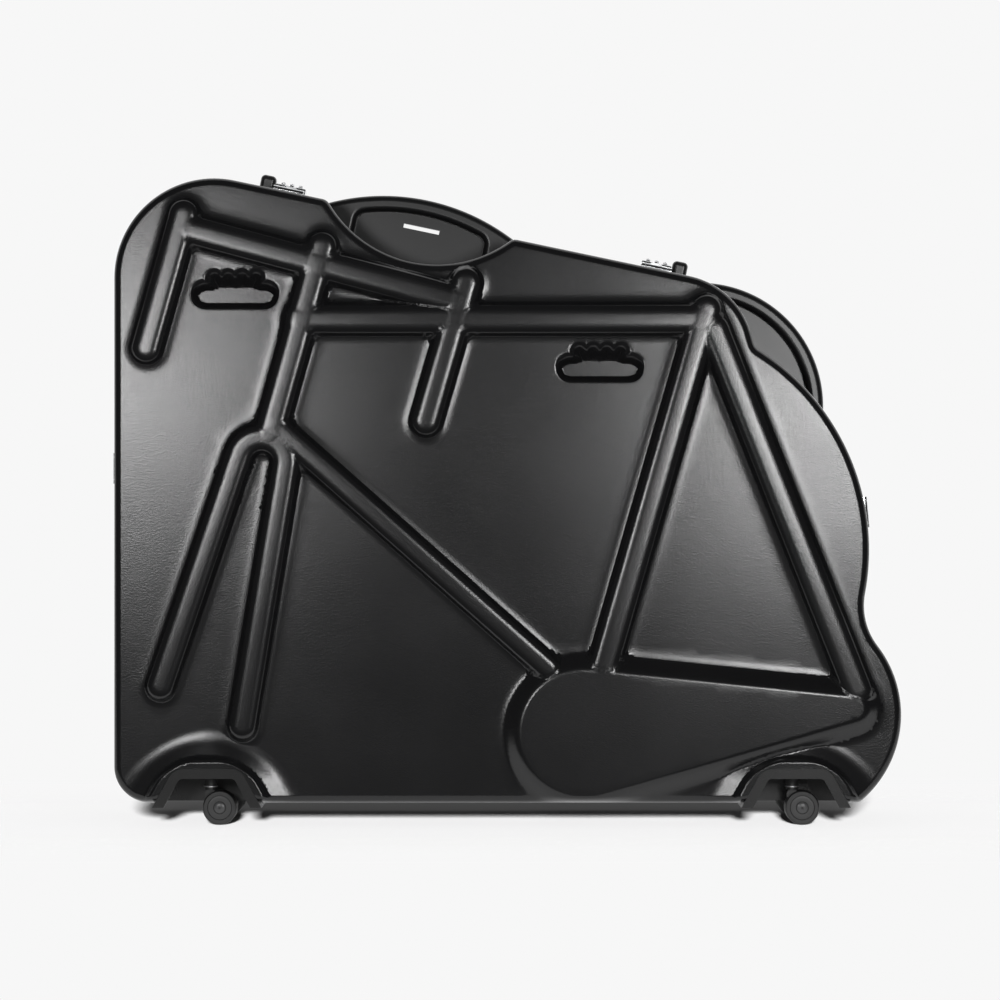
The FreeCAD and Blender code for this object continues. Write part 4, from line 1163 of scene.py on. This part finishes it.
def turned(joint, name, section, material):
    """A thin turned plate on each outer face of a caster's wheels."""
    hub = joint["pos_m"]
    verts = []
    faces = []
    for side in (-1, 1):
        rows = []
        for radius, out in [*section, (section[-1][0], TURN_BACK), (section[0][0], TURN_BACK)]:
            rows.append(len(verts))
            for k in range(TURN_COUNT):
                spot = unit(FULL_TURN * k / TURN_COUNT) * radius
                verts.append((hub[0] + spot.real, hub[1] + side * (WHEEL_FACE + out), hub[2] + spot.imag))
        for here, there in zip(rows, [*rows[1:], rows[0]]):
            faces.extend(band(here, there, TURN_COUNT))
    obj = finished(closed(new_object(joint["child"] + name, verts, faces, material)), TURN_SHARP)
    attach(obj, joint["child"])


for joint in joints:
    if joint["child"].endswith("_caster_wheels"):
        turned(joint, "_discs", DISC_SECTION, DISC_GREY)
        turned(joint, "_caps", CAP_SECTION, CAP_GREY)

# Plain numbers on the dials
DIAL_R = 0.011
DIGIT_SIZE = 0.0052
DIGIT_DEPTH = 0.00006
DIGIT_COUNT = 10
DIGIT_BENDS = 3


def digit_mesh(digit):
    """Vertices and faces of one flat number about the origin."""
    curve = bpy.data.curves.new("digit", "FONT")
    curve.body = str(digit)
    curve.size = DIGIT_SIZE
    curve.align_x = "CENTER"
    curve.align_y = "CENTER"
    curve.extrude = DIGIT_DEPTH
    curve.resolution_u = DIGIT_BENDS
    holder = bpy.data.objects.new("digit", curve)
    mesh = bpy.data.meshes.new_from_object(holder)
    verts = [v.co.copy() for v in mesh.vertices]
    faces = [tuple(p.vertices) for p in mesh.polygons]
    bpy.data.objects.remove(holder)
    bpy.data.curves.remove(curve)
    bpy.data.meshes.remove(mesh)
    return verts, faces


def dial_numbers(joint, digits):
    """The ten numbers round one dial, as one piece that turns with it."""
    axis = Vector(joint["axis"]).normalized()
    centre = Vector(joint["pos_m"])
    start = Vector((0, 1, 0))
    lift = start.cross(axis)
    verts = []
    faces = []
    for k, (shape, shape_faces) in enumerate(digits):
        turn = FULL_TURN * k / DIGIT_COUNT
        out = start * math.cos(turn) + lift * math.sin(turn)
        up = out.cross(axis)
        first = len(verts)
        verts.extend(centre + axis * v.x + up * v.y + out * (DIAL_R + v.z) for v in shape)
        faces.extend(tuple(first + i for i in f) for f in shape_faces)
    obj = new_object(joint["child"] + "_numbers", verts, faces, NUMBER_INK)
    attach(obj, joint["child"])


DIGITS = [digit_mesh(k) for k in range(DIGIT_COUNT)]
for joint in joints:
    if "_dial_" in joint["child"]:
        dial_numbers(joint, DIGITS)


# Studio
BACKGROUND = 0.93
AMBIENT = 0.60
FLOOR_GREY = 0.14
FLOOR_LAMP = 103.0
FLOOR_LAMP_RISE = 10.5
FLOOR_LAMP_SOFT = 5.0
SHADOW_NEAR = 0.32
SHADOW_FAR = 0.75
FLOOR_HALF = 30.0
HOOD_HALF = 4.0
HOOD_REACH = (-9.0, 0.4)
HOOD_HEIGHTS = (0.002, 5.0)
HOOD_LIP = -0.35
CARD_GREY = 0.02
CARD_ROUGH = 0.9
CAMERA_SPOT = (-0.01125, -6.001, 0.492)
CAMERA_LENS = 140
SENSOR_WIDTH = 36
LEFT_AIM = (-0.3, 0, 0.55)
RIGHT_AIM = (0.3, 0, 0.55)
# Softboxes: name, place, point that they face, side in metres and power in watts
SOFTBOXES = (
    ("left_softbox", (-1.05, -4.0, 0.82), LEFT_AIM, 0.5, 25),
    ("right_softbox", (0.90, -4.0, 0.75), RIGHT_AIM, 0.5, 32),
    ("rear_left_softbox", (-1.5, 4.0, 0.9), LEFT_AIM, 1.8, 12),
    ("rear_right_softbox", (1.5, 4.0, 0.9), RIGHT_AIM, 1.8, 12),
)


def shown_level(tree, shown, hidden):
    """One strength for what the camera, mirrors and glass see, another for the light given."""
    ray = put(tree, "ShaderNodeLightPath").outputs
    seen = worked(tree, "MAXIMUM", ray["Is Camera Ray"], ray["Is Glossy Ray"])
    seen = worked(tree, "MAXIMUM", seen, ray["Is Transmission Ray"])
    level = put(tree, "ShaderNodeMapRange", to_min=hidden, to_max=shown)
    tree.links.new(seen, level.inputs["Value"])
    return level.outputs["Result"]


def white_world():
    world = bpy.data.worlds.new("studio")
    bpy.context.scene.world = world
    world.use_nodes = True
    tree = world.node_tree
    background = tree.nodes["Background"]
    background.inputs["Color"].default_value = (1, 1, 1, 1)
    tree.links.new(shown_level(tree, BACKGROUND, AMBIENT), background.inputs["Strength"])


def white_floor():
    """A floor that takes the case's shadow and runs into the background far away."""
    half = FLOOR_HALF
    material, tree, shader = node_material("floor_white")
    link = tree.links.new
    tree.nodes.remove(shader)
    paint = put(tree, "ShaderNodeBsdfDiffuse")
    paint.inputs["Color"].default_value = (*grey(FLOOR_GREY), 1)
    glow = put(tree, "ShaderNodeEmission")
    link(shown_level(tree, BACKGROUND, AMBIENT), glow.inputs["Strength"])
    place = put(tree, "ShaderNodeTexCoord")
    parts = put(tree, "ShaderNodeSeparateXYZ")
    link(place.outputs["Object"], parts.inputs[0])
    away = put(tree, "ShaderNodeMath", operation="ABSOLUTE")
    link(parts.outputs["Y"], away.inputs[0])
    share = put(tree, "ShaderNodeMapRange", interpolation_type="SMOOTHSTEP", from_min=SHADOW_NEAR,
                from_max=SHADOW_FAR, to_min=1.0, to_max=0.0)
    link(away.outputs[0], share.inputs["Value"])
    painted = worked(tree, "MULTIPLY", share.outputs["Result"], shown_level(tree, 1.0, 0.0))
    mix = put(tree, "ShaderNodeMixShader")
    link(painted, mix.inputs["Fac"])
    link(glow.outputs[0], mix.inputs[1])
    link(paint.outputs[0], mix.inputs[2])
    link(mix.outputs[0], tree.nodes["Material Output"].inputs["Surface"])
    corners = [(-half, -half, 0), (half, -half, 0), (half, half, 0), (-half, half, 0)]
    floor = new_object("floor", corners, [(0, 1, 2, 3)], material)
    return floor


def floor_lamp(floor):
    """A low lamp in front that lights the floor alone, for the case's shadow."""
    data = bpy.data.lights.new("floor_lamp", "SUN")
    data.energy = FLOOR_LAMP
    data.angle = math.radians(FLOOR_LAMP_SOFT)
    lamp = placed("floor_lamp", data)
    lamp.rotation_euler = (math.radians(90 - FLOOR_LAMP_RISE), 0, 0)
    lit = bpy.data.collections.new("lit_by_floor_lamp")
    lit.objects.link(floor)
    lamp.light_linking.receiver_collection = lit


def dark_hood():
    """Dark cards in front of, above and beside the case, which only reflections see."""
    material, _, shader = node_material("card_black")
    shader.inputs["Base Color"].default_value = (*grey(CARD_GREY), 1)
    shader.inputs["Roughness"].default_value = CARD_ROUGH
    low, top = HOOD_HEIGHTS
    verts = [(x, y, z) for x in (-HOOD_HALF, HOOD_HALF) for y in HOOD_REACH for z in (low, top)]
    verts.extend([(-HOOD_HALF, HOOD_LIP, low), (HOOD_HALF, HOOD_LIP, low)])
    faces = [(0, 1, 3, 2), (4, 6, 7, 5), (0, 4, 5, 1), (1, 5, 7, 3), (0, 8, 9, 4)]
    hood = new_object("dark_hood", verts, faces, material)
    hood.visible_camera = False
    hood.visible_diffuse = False
    hood.visible_shadow = False
    hood.visible_transmission = False


def softbox(name, spot, aim, size, power):
    data = bpy.data.lights.new(name, "AREA")
    data.shape = "RECTANGLE"
    data.size = size
    data.size_y = size
    data.energy = power
    lamp = placed(name, data)
    lamp.location = spot
    lamp.rotation_euler = (Vector(aim) - Vector(spot)).to_track_quat("-Z", "Y").to_euler()
    lamp.visible_camera = False


def photo_camera():
    data = bpy.data.cameras.new("camera")
    data.lens = CAMERA_LENS
    data.sensor_width = SENSOR_WIDTH
    camera = placed("camera", data)
    camera.location = CAMERA_SPOT
    camera.rotation_euler = (math.radians(90), 0, 0)
    bpy.context.scene.camera = camera


white_world()
floor_lamp(white_floor())
dark_hood()
for lamp in SOFTBOXES:
    softbox(*lamp)
photo_camera()
bpy.context.scene.view_settings.view_transform = "Standard"
